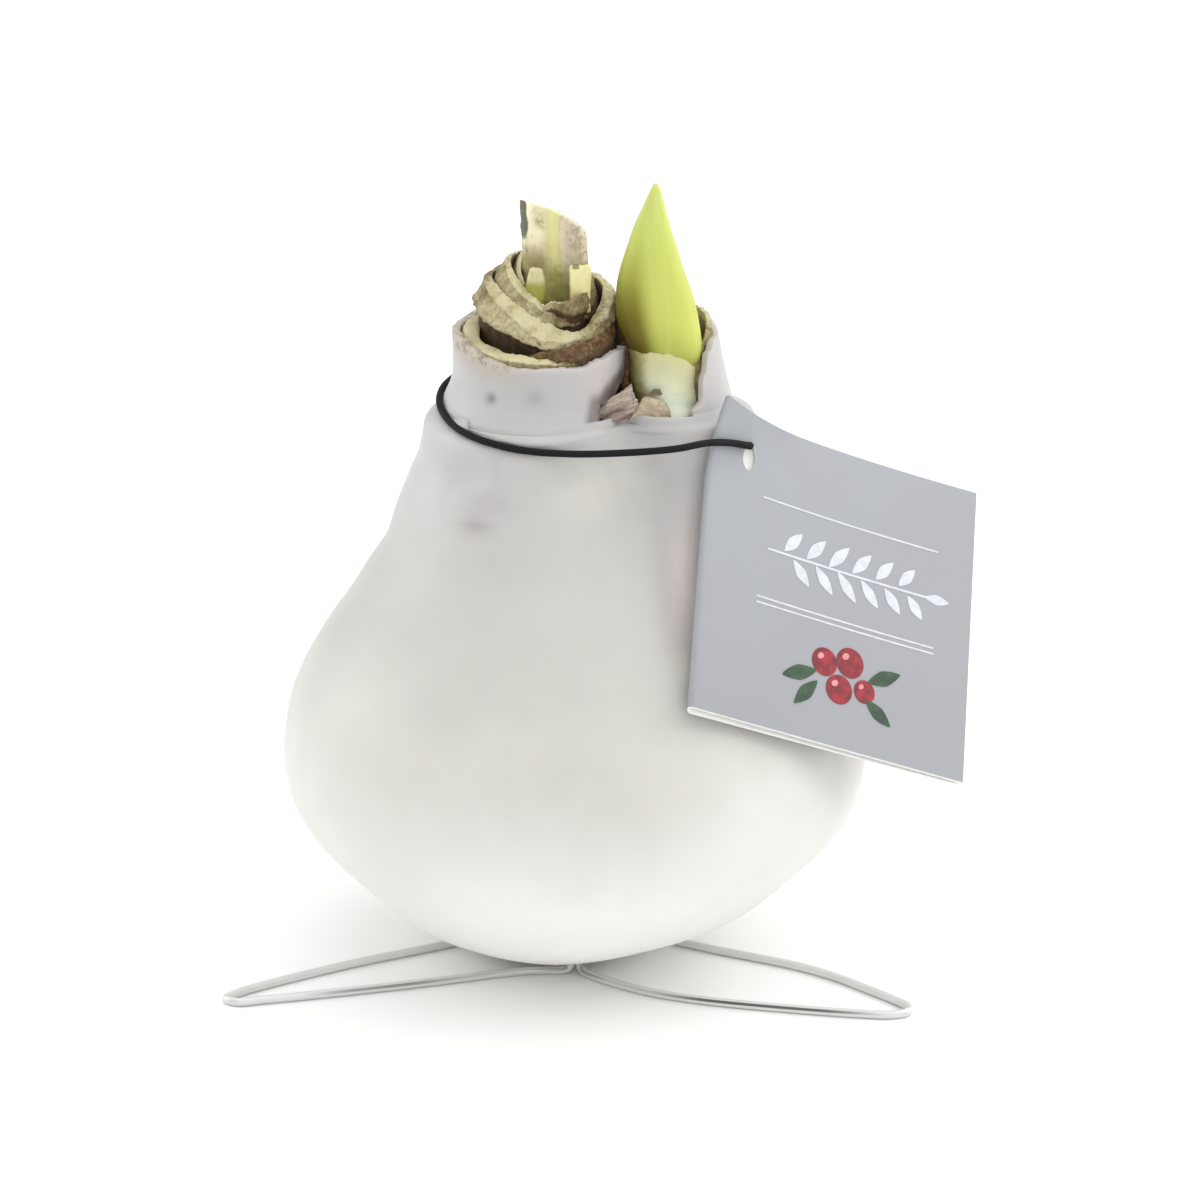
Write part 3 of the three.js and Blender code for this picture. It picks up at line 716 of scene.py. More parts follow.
def bud_finish(settings):
    f = Finish("bud_green")
    turn = f.attribute("turn")
    rise = f.attribute("rise")
    veins = f.noise(0.9, 3, 0.6, f.stretched((1, 1, 0.06)))
    wide_veins = f.noise(2.6, 2, 0.5, f.stretched((1, 1, 0.05)))
    tone = f.ramp(f.ranged(rise, 100, 132), [
        (0.0, paint(176, 184, 84)), (0.25, paint(198, 205, 100)), (0.6, settings.light_color),
        (0.85, paint(200, 211, 108)), (1.0, paint(206, 215, 124))])
    tone = f.tint(tone, f.ranged(veins, 0.42, 0.66), paint(182, 194, 84), 0.18)
    tone = f.tint(tone, f.ranged(wide_veins, 0.5, 0.7), paint(212, 218, 132), 0.2)
    # painted shade: the side turned from the light is olive, browner towards the neck beside the
    # mound
    leftness = f.times(f.math("COSINE", turn), -1.0)
    shaded = f.times(f.ranged(leftness, -0.02, 0.6), f.ranged(rise, 109, 125, 1.0, 0.08))
    tone = f.tint(tone, shaded, settings.shade_color)
    brown = f.times(f.ranged(leftness, 0.2, 0.8), f.ranged(rise, 105, 119, 1.0, 0.0))
    tone = f.tint(tone, brown, paint(82, 68, 24), 0.85)
    shade = f.times(f.ranged(turn, -0.9, -0.2), f.ranged(rise, 100, 110, 1, 0))
    tone = f.tint(tone, shade, paint(140, 142, 58), 0.8)
    bumped = f.bump(veins, 0.06, 0.4)
    f.finish(tone, f.ranged(veins, 0.3, 0.7, 0.4, 0.5), bumped, Subsurface_Weight=0.15,
             Subsurface_Scale=0.002, Specular_IOR_Level=0.3)
    f.shader.inputs["Subsurface Radius"].default_value = (0.8, 1.0, 0.3)
    return f.material


def build_bud_film(settings):
    bm = bmesh.new()
    layers = add_layers(bm, ("rise", "turn"))
    inner = BUD_WAIST + FILM_GAP
    outer = inner + FILM_WALL
    heights = [lerp(SHOULDER_Z - 1.6, WAX_LINE, row / FILM_ROWS) for row in range(FILM_ROWS + 1)]
    profile = [(outer, z) for z in heights]
    profile += [(outer - 0.12, WAX_LINE + 0.2), (inner + 0.1, WAX_LINE + 0.15)]
    profile += [(inner, z) for z in reversed(heights[::3])]
    for vert in revolve(bm, profile, FILM_FACETS, closed=True):
        place = vert.co.copy()
        angle = angle_of(place)
        vert[layers["rise"]] = place.z
        vert[layers["turn"]] = angle
        ragged = roughness_at(polar(3, angle, 1), 0.8) + max(math.sin(angle + 0.3), 0)
        place.z += smoothstep(place.z, 101, WAX_LINE) * (0.5 * ragged - 0.3)
        flare = 1 + 0.26 * (1 - smoothstep(place.z, 93.4, 97.2)) * max(-math.sin(angle), 0) ** 0.7
        wider = 1 + 0.13 * smoothstep(place.x, 0, 4) * (1 - smoothstep(place.z, 99, 104))
        place.x *= flare * wider
        place.y *= flare
        vert.co = shape_bud(place, 0.0)
    face_outward(bm)
    for vert in bm.verts:
        vert.co += vert.normal * 0.1 * roughness_at(vert.co, 2.4, 6.0)
    return new_piece("bud_wax_film", bm, bud_film_finish(settings), ["bud_wax"])


def bud_film_finish(settings):
    f = Finish("thin_wax_on_bud")
    turn = f.attribute("turn")
    rise = f.attribute("rise")
    # lightest at the foot, painted light there to lift the shade
    tone = f.ramp(f.ranged(rise, 93, 106), [
        (0.0, paint(240, 240, 226)), (0.35, settings.film_color), (0.8, paint(214, 211, 168)),
        (1.0, paint(210, 206, 152))])
    leftness = f.times(f.math("COSINE", turn), -1.0)
    # painted shade down the left beside the dark gap, wider towards the foot, with a brown crack in
    # it
    edge = f.math("ADD", leftness, f.ranged(rise, 95, 101, 0.35, 0.0))
    edge = f.math("ADD", edge, f.times(f.noise(1.6, 4, 0.7), 0.3))
    tone = f.tint(tone, f.ranged(edge, 0.5, 0.95), paint(146, 140, 84))
    tone = f.tint(tone, f.ranged(edge, 0.85, 1.2), paint(70, 58, 16))
    marks = f.ranged(f.noise(2.2, 4, 0.6), 0.55, 0.75)
    tone = f.tint(tone, marks, paint(182, 182, 156), 0.3)
    bumped = f.bump(f.noise(1.5, 3), 0.15, 0.5)
    return f.finish(tone, f.ranged(marks, 0, 1, 0.42, 0.55), bumped, Subsurface_Weight=0.2,
                    Subsurface_Scale=0.002)


# ------------------------------------------------- cut scales inside the neck

# Each scale is a thick sheet round its own middle, cut off above. Its measures are
# given for eight directions: left, front left, front, and so on round to back left.
# The cut slants, and below it the outside spreads like eaves and then draws back in.
SCALES = [
    dict(name="outer", at=(-5.6, 0), phase=0.7, crumble=0.5,
         radius=(12.3, 12.4, 12.3, 12.2, 12.2, 12.2, 12.3, 12.3),
         height=(107.8, 105.9, 105.0, 104.6, 104.9, 105.6, 106.6, 107.6),
         wall=(2.7, 2.3, 1.9, 1.2, 1.2, 1.2, 1.3, 1.8), slant=(0.1, 0.35, 0.4, 0.3, 0, 0, 0, 0),
         eave=(1,) * 8, lean=(0,) * 8, under=(0,) * 8, dirt=(0.5, 0.1, 0.4, 1.4, 1.4, 1, 0.6, 0.6)),
    dict(name="papery", at=(-5.6, 0), phase=2.6, crumble=3.2,
         radius=(9.2, 9.6, 10.8, 11.6, 12.2, 11.8, 10.8, 9.6),
         height=(100, 102.2, 106.0, 107.4, 109.0, 108, 104, 101), wall=(0.8,) * 8,
         slant=(0.3,) * 8, eave=(1.5,) * 8, lean=(0.2,) * 8, under=(0,) * 8, dirt=(1.6,) * 8),
    dict(name="thick", at=(-4.7, 0.2), phase=2.1, crumble=2.0,
         radius=(9.7, 8.8, 9.3, 10.0, 11.2, 10.6, 9.8, 9.4),
         height=(115.2, 111.7, 107.6, 108.4, 113.0, 114.6, 115.6, 116.4),
         wall=(1.7, 2.2, 3.3, 2.0, 2.1, 2.2, 1.6, 1.6),
         slant=(0.5, 0.7, 0.8, 0.3, 0.4, 0.2, 0.0, 0.2),
         eave=(3.0, 1.8, 0.8, 0.8, 2.5, 2.5, 3.0, 3.6),
         lean=(0.5, 1.5, 0.6, 0.2, 0.15, 0.2, 0.4, 0.6),
         under=(1.0, 3.0, 1.4, 0.4, 0.2, 0.2, 0.3, 0.7),
         dirt=(0.75, 0.2, 0.05, 0.7, 0.6, 0.6, 0.7, 0.9)),
    dict(name="folded", at=(-4.4, 0.9), phase=4.0, crumble=1.1,
         radius=(6.9, 6.3, 6.1, 6.0, 7.9, 7.8, 7.2, 7.0),
         height=(117.6, 114.3, 111.4, 110.0, 112.6, 115.2, 117.0, 118.4),
         wall=(1.0, 1.3, 1.3, 1.1, 1.2, 1.3, 1.3, 1.1),
         slant=(0.5, 0.5, 0.6, 0.5, 0.2, 0.0, 0.0, 0.2),
         eave=(2.6, 1.8, 1.3, 0.8, 1.4, 2.0, 2.0, 2.4),
         lean=(0.8, 0.8, 0.5, 0.5, 0.3, 0.3, 0.4, 0.7),
         under=(0.3, 0.5, 0.6, 1.3, 0.7, 0.3, 0.3, 0.3),
         dirt=(0.6, 0.4, 0.7, 0.9, 0.7, 0.7, 0.7, 0.7)),
    dict(name="cup", at=(-3.5, 0.6), phase=5.2, crumble=0.8,
         radius=(5.7, 5.1, 5.2, 6.4, 6.9, 6.2, 5.5, 5.9),
         height=(117.0, 112.7, 112.7, 113.6, 115.0, 116.2, 117.6, 119.6),
         wall=(0.6,) * 8, slant=(0.3,) * 8,
         eave=(2.2, 1.2, 0.7, 2.6, 2.6, 1.5, 2, 2.4),
         lean=(0.7, 0.5, 0.3, 0.12, 0.1, 0.3, 0.4, 0.6),
         under=(0.2, 0.3, 0.5, 0.9, 0.6, 0.2, 0.2, 0.2),
         dirt=(0.3, 0.2, 0.5, 1.0, 0.9, 0.6, 0.5, 0.4)),
    dict(name="dry", at=(14.7, 1.0), phase=1.3, crumble=1.4,
         radius=(7.4, 6.8, 6.4, 7.0, 7.05, 7.05, 7.0, 7.2),
         height=(112.6, 100.5, 95.0, 103.5, 108.4, 109.6, 109.8, 112.0),
         wall=(0.7,) * 8, slant=(0.2,) * 8, eave=(6,) * 8, lean=(0.14,) * 8, under=(0,) * 8,
         dirt=(1.6, 1.5, 1, 0.9, 0.6, 0.6, 0.8, 1.5)),
]
SCALE_KEYS = ("radius", "height", "wall", "slant", "eave", "lean", "under", "dirt")
SCALE_DEPTH = 13.0
SCALE_REACH = 12.5              # the scales of the cut neck stay inside its wax
SCALE_ROWS = (3, 2.7, 2.4, 2.0, 1.8, 1.6, 1.4, 1.2, 1.06, 0.95, 0.82, 0.69, 0.56, 0.43, 0.31,
              0.2, 0.1, 0.03)   # down the outside: 1 is the eaves' foot, 3 the scale's
CUT_STEPS = (0.04, 0.12, 0.22, 0.34, 0.46, 0.58, 0.7, 0.81, 0.9, 0.96)
HOLLOW_ROWS = (0.03, 0.15, 0.35, 0.6, 0.9, 1.3, 1.8, 2.4, 3)
SPUN_RADIUS = 20                # a scale is first spun as a wide ring
BODY_GAP = 3.4                  # the body lies so far inside the wax's outside
BODY_FACETS = 96
CORE_FACETS = 120
CORE = [                        # (radius, height) of the neck inside the wax, up to the flesh
    (0, 88), (12.0, 88), (12.0, 99), (11.8, 101), (11.2, 102), (9.4, 102.6), (8.0, 105),
    (6.6, 106.4), (5.6, 108.6), (4.3, 109.8), (3.4, 110.6), (0, 111),
]


def round_table(values, angle):
    """The smooth value at an angle, from values for eight directions from the left."""
    place = (math.degrees(angle) + 180) / 45
    index = math.floor(place)
    part = place - index
    four = [values[(index + shift) % 8] for shift in (-1, 0, 1, 2)]
    rise = (four[2] - four[0]) / 2
    fall = (four[3] - four[1]) / 2
    bend = 3 * (four[2] - four[1]) - 2 * rise - fall
    twist = 2 * (four[1] - four[2]) + rise + fall
    return four[1] + part * (rise + part * (bend + part * twist))


def add_scale(bm, layers, scale, facets):
    """One scale of the bulb, cut across: its edge is rounded and torn, its outside crumbles."""
    profile = [(0.0, row) for row in SCALE_ROWS]
    profile += [(inward, 0) for inward in CUT_STEPS]
    profile += [(1.0, row) for row in HOLLOW_ROWS]
    spun = [(SPUN_RADIUS - inward, -row) for inward, row in profile]
    phase = scale["phase"]
    middle = Vector((*scale["at"], 0))
    for vert in revolve(bm, spun, facets, closed=True):
        angle = angle_of(vert.co)
        inward = clamp(SPUN_RADIUS - math.hypot(vert.co.x, vert.co.y))
        row = max(-vert.co.z, 0)
        part = {key: round_table(scale[key], angle) for key in SCALE_KEYS}
        wall = part["wall"] * (1 + 0.22 * uneven(angle, phase + 2))
        eave = part["eave"] * (1 + 0.2 * uneven(angle, phase + 1))
        dirt = clamp(part["dirt"], 0, 1.6)
        outside = 1 - inward
        depth = eave * min(row, 1) + 1.3 * clamp(row - 1) + SCALE_DEPTH * clamp(row - 2)
        # the cut edge, and the radius that leans out and draws back in under the eaves
        ring = polar(9, angle, phase)
        ragged = 0.35 * roughness_at(ring, 2.6, phase) + 0.22 * roughness_at(ring, 0.8, phase)
        rounding = 0.14 * min(wall, 2) * (2 * inward - 1) ** 4
        height = part["height"] + part["slant"] * wall * inward - depth - rounding
        height += (1 - smoothstep(depth, 1.0, 4.0)) * ragged
        under = part["under"] * smoothstep(row, 1.0, 1.9)
        radius = part["radius"] + 0.3 * uneven(angle, phase)
        radius += outside * (part["lean"] * min(depth, eave) - under)
        radius -= wall * inward + 0.1 * (row < 0.01) * (2 * inward - 1) ** 3
        # the skin crumbles
        skin = polar(radius, angle, 0.6 * height)
        crumbs = roughness_at(skin, 1.6, phase) + 0.8 * abs(roughness_at(skin, 0.7, phase + 3))
        push = 0.2 * scale["crumble"] * crumbs * (0.2 + 0.8 * outside * min(row * 3, 1))
        lumps = roughness_at(skin, 3.2, phase + 5) * smoothstep(row, 0.0, 0.4) * outside
        push += 0.25 * min(scale["crumble"], 2) * lumps
        place = middle + polar(1, angle) * (radius + push) + Vector((0, 0, height))
        if scale["name"] != "dry":
            from_neck = place - CUT_NECK.to_3d()
            reach = math.hypot(from_neck.x, from_neck.y)
            if reach > SCALE_REACH:
                pull = (SCALE_REACH - reach) / reach
                place += Vector((from_neck.x, from_neck.y, 0)) * pull
        vert.co = place
        face = smoothstep(inward, 0.03, 0.12) * (row < 0.2)
        # deep marks painted shade down the outside under the eaves and down the inside
        deep = smoothstep(row, 0.75, 1.35) if inward < 0.5 else smoothstep(row, 0.1, 0.9)
        vert[layers["cut"]] = face * (1 - 0.85 * min(dirt, 1))
        vert[layers["deep"]] = deep
        vert[layers["dirt"]] = dirt


def build_bulb(settings):
    bm = bmesh.new()
    layers = add_layers(bm, ("cut", "deep", "dirt", "hollow"))
    # the body inside the wax
    foot = BASE_Z + BODY_GAP
    profile = [(0, foot)]
    profile += [(radius - BODY_GAP, max(z, foot)) for radius, z in smooth_profile(OUTLINE[:-2], 2)]
    profile += [(0, 92.2)]
    for vert in revolve(bm, profile, BODY_FACETS):
        vert.co = shape_wax(math.hypot(vert.co.x, vert.co.y), angle_of(vert.co), vert.co.z)
        # painted shade: the body inside the wax is marked deep
        vert[layers["deep"]] = 0.6
    # the neck inside the wax, and the flesh between the scales
    for vert in revolve(bm, CORE, CORE_FACETS):
        place = vert.co
        top = smoothstep(place.z, 102, 110)
        # painted shade on the flesh, lightening towards its top
        vert[layers["deep"]] = 0.85 - 0.5 * smoothstep(place.z, 108, 111)
        vert[layers["dirt"]] = 0.6
        vert.co = Vector((place.x + lerp(CUT_NECK.x, -4, top), place.y + 0.8 * top,
                          place.z + top * (0.3 * place.y - 0.12 * place.x)))
        vert.co += Vector((0, 0, 0.5)) * roughness_at(vert.co, 1.5, 3.0) * top
    for scale in SCALES:
        add_scale(bm, layers, scale, settings.facets)
    face_outward(bm)
    mark_hollows(bm, layers["hollow"], 94)
    return new_piece("bulb_scales", bm, scale_finish(settings), ["bulb"])


def scale_finish(settings):
    f = Finish("cut_scales")
    cut = f.attribute("cut")
    deep = f.attribute("deep")
    dirt = f.attribute("dirt")
    hollow = f.attribute("hollow")
    grain = f.noise(0.55, 5, 0.7, f.stretched((1, 1, 0.4)))
    blotch = f.noise(2.6, 5, 0.65)
    crumbs = f.noise(0.9, 5, 0.75)
    side = f.ramp(grain, [(0.3, paint(136, 124, 88)), (0.45, paint(172, 160, 122)),
                          (0.58, paint(188, 178, 140)), (0.75, paint(206, 198, 164))])
    uneven_dirt = f.swing(blotch, 2.2)
    soiled = f.math("ADD", f.times(dirt, 1.1), uneven_dirt)
    olive = f.ramp(crumbs, [(0.3, paint(84, 70, 40)), (0.5, paint(128, 112, 72)),
                            (0.7, paint(166, 152, 108))])
    rust = f.ramp(crumbs, [(0.3, paint(58, 38, 18)), (0.5, paint(102, 74, 42)),
                           (0.7, paint(150, 122, 86))])
    side = f.blend(f.ranged(soiled, 0.3, 1.0), side, f.blend(f.ranged(dirt, 1.0, 1.4), olive, rust))
    cream = f.ramp(blotch, [(0.35, paint(212, 206, 166)), (0.52, settings.flesh_color),
                            (0.68, paint(176, 164, 120))])
    # painted shade: the scales darken down into the hollows between them
    dark = f.ramp(crumbs, [(0.3, paint(58, 42, 22)), (0.7, paint(104, 84, 54))])
    tone = f.blend(deep, side, dark)
    edge = f.math("ADD", cut, f.swing(crumbs, 0.7))
    tone = f.tint(tone, f.ranged(edge, 0.3, 0.6), cream)
    # painted shade where the mesh closes the scales in
    closed = f.math("ADD", hollow, f.swing(crumbs, 0.35))
    tone = f.tint(tone, f.ranged(closed, 0.38, 0.7, 0.0, 0.85), settings.hollow_shade_color)
    bumped = f.bump(crumbs, 0.35, 0.7, f.bump(grain, 0.25, 0.6))
    return f.finish(tone, 0.7, bumped, Subsurface_Weight=0.08, Subsurface_Scale=0.001)


# ------------------------------------------------------------ cut leaf and stubs

LEAF_MIDDLE = Vector((-3.2, -3.4))      # the middle that the blade bends round
LEAF_RADIUS = 6.4
LEAF_TURN = (2.42, 0.42)                # its left and right edge's direction from there
LEAF_FOOT = 110.0
LEAF_TOP = 128.4
LEAF_GRID = (56, 60)


def build_leaf(settings):
    """The tall blade: a curved sheet, cut off along a slope, with a thickness."""
    bm = bmesh.new()
    layers = add_layers(bm, ("across", "rise"))
    columns, rows = LEAF_GRID
    bmesh.ops.create_grid(bm, x_segments=columns, y_segments=rows, size=0.5)
    for vert in bm.verts:
        part = vert.co.x + 0.5
        rise = vert.co.y + 0.5
        vert[layers["across"]] = part
        vert[layers["rise"]] = rise
        radius = LEAF_RADIUS + 0.16 * math.sin(9 * part + 2 * rise) * rise
        radius += 0.12 * math.exp(-((part - 0.44) / 0.05) ** 2)
        radius -= 0.1 * math.exp(-((part - 0.57) / 0.03) ** 2)
        x, y = LEAF_MIDDLE + polar(radius, lerp(*LEAF_TURN, part)).xy
        slope = 0.42 * max(x + 8.3, 0) + 1.3 * smoothstep(x, 1.9, 2.7)
        z = LEAF_FOOT + (LEAF_TOP - LEAF_FOOT) * rise - slope * rise
        z += 0.22 * rise ** 4 * roughness_at(Vector((x, y, 0)), 0.9, 2.0)
        vert.co = Vector((x - 0.5 * rise, y, z))
    face_outward(bm)
    bmesh.ops.solidify(bm, geom=bm.faces[:], thickness=settings.thickness / MM)
    for vert in bm.verts:
        vert.co += vert.normal * 0.14 * roughness_at(vert.co, 1.4, 8.0)
    face_outward(bm)
    return new_piece("cut_leaf_blade", bm, leaf_finish(settings), ["cut_leaf"])


def leaf_finish(settings):
    f = Finish("cut_leaf_blade")
    across = f.attribute("across")
    rise = f.attribute("rise")
    grain = f.noise(0.6, 4, 0.65, f.stretched((1, 1, 0.12)))
    blotch = f.noise(2.0, 4, 0.6)
    wavy = f.math("ADD", across, f.swing(blotch, 0.16))
    tone = f.ramp(grain, [(0.3, paint(228, 219, 182)), (0.5, settings.color),
                          (0.7, paint(248, 242, 214))])
    low_left = f.times(f.ranged(rise, 0.46, 0.7, 1, 0), f.ranged(wavy, 0.4, 0.5, 1, 0))
    tone = f.tint(tone, low_left, paint(160, 149, 98), 0.9)
    aside = f.math("ABSOLUTE", f.math("SUBTRACT", wavy, 0.25))
    above = f.math("SUBTRACT", rise, 0.87)
    aloft = f.math("ABSOLUTE", f.math("SUBTRACT", above, f.swing(blotch, 0.3)))
    notch = f.times(f.ranged(aside, 0.02, 0.15, 1, 0), f.ranged(aloft, 0.02, 0.14, 1, 0))
    mottled = f.ranged(f.noise(1.2, 4, 0.7), 0.38, 0.58, 0.3, 1.0)
    tone = f.tint(tone, f.times(notch, mottled), paint(174, 162, 120))
    greener = f.times(f.ranged(wavy, 0.24, 0.38), f.ranged(wavy, 0.52, 0.6, 1, 0))
    tone = f.tint(tone, greener, paint(216, 211, 150), 0.8)
    beige = f.ranged(wavy, 0.54, 0.6)
    tone = f.tint(tone, beige, paint(214, 204, 180), 0.85)
    brown = f.times(f.ranged(across, 0.6, 0.85), f.ranged(blotch, 0.48, 0.6))
    tone = f.tint(tone, brown, paint(168, 150, 122), 0.6)
    specks = f.times(f.ranged(f.noise(1.1, 4, 0.7), 0.58, 0.66), f.ranged(across, 0.3, 0.7))
    tone = f.tint(tone, specks, paint(132, 116, 80), 0.6)
    streak = f.times(f.ranged(across, 0.34, 0.42), f.ranged(across, 0.5, 0.56, 1, 0))
    tone = f.tint(tone, streak, paint(230, 227, 158), 0.9)
    olive = f.times(f.ranged(rise, 0.28, 0.56, 1, 0), f.ranged(wavy, 0.28, 0.4))
    olive = f.times(olive, f.ranged(wavy, 0.64, 0.74, 1, 0))
    tone = f.tint(tone, olive, paint(166, 162, 84), 0.85)
    # the left edge is dark at the top and thins out downwards
    margin = f.math("SUBTRACT", wavy, f.ranged(rise, 0.42, 0.9, -0.02, 0.04))
    tone = f.tint(tone, f.ranged(margin, -0.03, 0.015, 0.9, 0), paint(74, 76, 62))
    bumped = f.bump(grain, 0.2, 0.6)
    return f.finish(tone, 0.55, bumped, Subsurface_Weight=0.15, Subsurface_Scale=0.001)


STUB_FACETS = 56
STUBS = {
    # its profile: share of the half width, and of the height, from the foot up
    "green_stub": dict(node="leaf_stub_green", slot="green_stub", at=GREEN_STUB_AT.xy,
                       size=(3.0, 2.3), foot=110.8, top=117.9, square=2.2,
                       profile=[(1.0, 0.0), (1.06, 0.35), (1.06, 0.56), (0.98, 0.7), (0.86, 0.8),
                                (0.76, 0.9), (0.66, 0.98), (0.4, 1.0)],
                       dot=(-90, -80),
                       tones=[(138, 138, 46), (152, 152, 58), (208, 201, 156), (170, 168, 92)]),
    "pale_stub": dict(node="leaf_stub_pale", slot="pale_stub", at=(0.95, -2.0), size=(3.4, 1.7),
                      foot=110.8, top=118.3, square=5.0,
                      profile=[(1.0, 0.0), (0.96, 0.4), (1.0, 0.8), (0.98, 0.96), (0.9, 1.0)],
                      dot=(-0.5, 1.0),
                      tones=[(222, 212, 152), (236, 228, 166), (238, 232, 174), (206, 198, 140)]),
}


def build_stub(name, stub):
    bm = bmesh.new()
    rise_layer = add_layers(bm, ["rise"])["rise"]
    foot, top = stub["foot"], stub["top"]
    run = [(0.5 * radius, lerp(foot, top, share)) for radius, share in stub["profile"]]
    profile = [(0, foot)] + smooth_profile(run, 6)
    profile += [(run[-1][0] * share, top) for share in (0.7, 0.4)] + [(0, top)]
    power = stub["square"]
    for vert in revolve(bm, profile, STUB_FACETS):
        angle = angle_of(vert.co)
        square = (abs(math.cos(angle)) ** power + abs(math.sin(angle)) ** power) ** (-1 / power)
        vert[rise_layer] = (vert.co.z - foot) / (top - foot)
        place = Vector((stub["at"][0] + vert.co.x * square * stub["size"][0],
                        stub["at"][1] + vert.co.y * square * stub["size"][1], vert.co.z))
        grain = roughness_at(Vector((place.x, place.y, 0.2 * place.z)), 0.9, 4.0)
        vert.co = place + Vector((vert.co.x, vert.co.y, 0)) * 0.25 * grain
        vert.co.z += 0.3 * roughness_at(place, 0.9, 2.0) * vert[rise_layer]
    face_outward(bm)
    return new_piece(name, bm, stub_finish(name, stub), [stub["node"]])


def stub_finish(name, stub):
    f = Finish(name)
    rise = f.attribute("rise")
    low, middle, high, streak = [paint(*tone) for tone in stub["tones"]]
    grain = f.noise(0.5, 4, 0.6, f.stretched((1, 1, 0.15)))
    tone = f.ramp(rise, [(0.0, low), (0.62, middle), (0.78, high), (1.0, high)])
    tone = f.tint(tone, f.ranged(grain, 0.45, 0.7), streak, 0.35)
    # a rotten place on the cut, between two places across it
    left, right = [(AXIS.x + x) * MM for x in stub["dot"]]
    soft = 0.4 * MM
    across = f.times(f.ranged(f.axis("X"), left, left + soft),
                     f.ranged(f.axis("X"), right - soft, right, 1, 0))
    rotten = f.times(f.ranged(rise, 0.93, 0.97), across)
    tone = f.tint(tone, rotten, paint(112, 102, 60), 0.8)
    bumped = f.bump(grain, 0.15, 0.6)
    return f.finish(tone, 0.5, bumped, Subsurface_Weight=0.2, Subsurface_Scale=0.001)


def build_stubs():
    for name, stub in STUBS.items():
        build_stub(name, stub)


# ----------------------------------------------------------------- dry scraps


def add_sheet(bm, outline, y, bend, tilt):
    """A thin torn sheet with an outline in x and z, bent round the neck."""
    old = set(bm.verts)

    def new(parts):
        return [part for part in parts if not any(vert in old for vert in part.verts)]

    bm.faces.new([bm.verts.new((x, 0, z)) for x, z in outline])
    bmesh.ops.triangulate(bm, faces=new(bm.faces))
    for _ in range(3):
        bmesh.ops.subdivide_edges(bm, edges=new(bm.edges), cuts=1, use_grid_fill=True)
    middle = sum(x for x, _ in outline) / len(outline)
    for vert in [vert for vert in bm.verts if vert not in old]:
        place = vert.co
        place.y = y + bend * (place.x - middle) ** 2 + tilt * (place.z - SHOULDER_Z)
        place.y += 0.25 * roughness_at(place, 1.8, 3.0 + y)
        place += Vector((0.12, 0, 0.12)) * roughness_at(place, 0.6, 9.0 + y)
    bmesh.ops.recalc_face_normals(bm, faces=new(bm.faces))


SCRAPS = {
    # each sheet: its outline in x and z, its y, its bend and its tilt
    "notch_scrap": dict(node="notch_scale", stripe=-20, foot=93.5, top=100.2, withered=110,
                        tones=[(110, 95, 86), (162, 145, 131), (194, 181, 166)], sheets=[
        ([(3.4, 95.4), (4.6, 97.4), (6.2, 98.7), (7.8, 99.6), (8.9, 100.5), (9.5, 98.9),
          (10.3, 97.5), (9.4, 96.0), (8.1, 94.9), (6.9, 94.5), (5.2, 94.6)], -9.2, 0.03, 0.2),
        ([(5.0, 97.0), (6.4, 98.3), (7.8, 99.2), (9.1, 100.7), (9.4, 99.2), (8.2, 98.4),
          (6.7, 97.2)], -9.5, 0.03, 0.16)]),
    "foot_scrap": dict(node="foot_scale", stripe=15, foot=93.2, top=95.4, withered=98.3,
                       tones=[(104, 94, 62), (186, 170, 140), (206, 192, 164)], sheets=[
        ([(8.6, 94.2), (9.6, 95.6), (10.5, 97.2), (11.2, 98.3), (12.4, 98.1), (13.6, 98.0),
          (14.5, 97.2), (15.2, 95.9), (15.4, 94.5), (11.8, 94.0)], -9.0, 0.02, 0.1),
        ([(12.0, 98.9), (12.7, 99.5), (13.7, 99.4), (14.0, 98.6), (13.0, 98.2)], -8.1, 0.02, 0.1)]),
}


def build_scrap(name, scrap):
    bm = bmesh.new()
    for sheet in scrap["sheets"]:
        add_sheet(bm, *sheet)
    piece = new_piece(name, bm, scrap_finish(name, scrap), [scrap["node"]])
    add_wall(piece, 0.3 * MM, 0)
    return piece


def scrap_finish(name, scrap):
    f = Finish(name)
    low, middle, high = [paint(*tone) for tone in scrap["tones"]]
    turned = f.node("ShaderNodeMapping", {"vector_type": "TEXTURE"},
                    {"Vector": f.object_place, "Rotation": (0, math.radians(scrap["stripe"]), 0),
                     "Scale": (4, 1, 0.6)})
    grain = f.noise(1.1, 4, 0.65, turned.outputs["Vector"])
    shade = f.times(f.ranged(f.height_mm(), scrap["foot"], scrap["top"], -0.5, 0.5), 0.22)
    tone = f.ramp(f.math("ADD", grain, shade), [(0.34, low), (0.48, middle), (0.64, high)])
    spots = f.ranged(f.noise(0.8, 4, 0.7), 0.58, 0.68)
    tone = f.tint(tone, spots, paint(112, 92, 72), 0.4)
    withered = f.ranged(f.height_mm(), scrap["withered"], scrap["withered"] + 0.3)
    tone = f.tint(tone, withered, paint(90, 82, 48), 0.9)
    return f.finish(tone, 0.75, f.bump(grain, 0.3, 0.7))


def build_scraps():
    for name, scrap in SCRAPS.items():
        build_scrap(name, scrap)


# ------------------------------------------------------------- tag and elastic

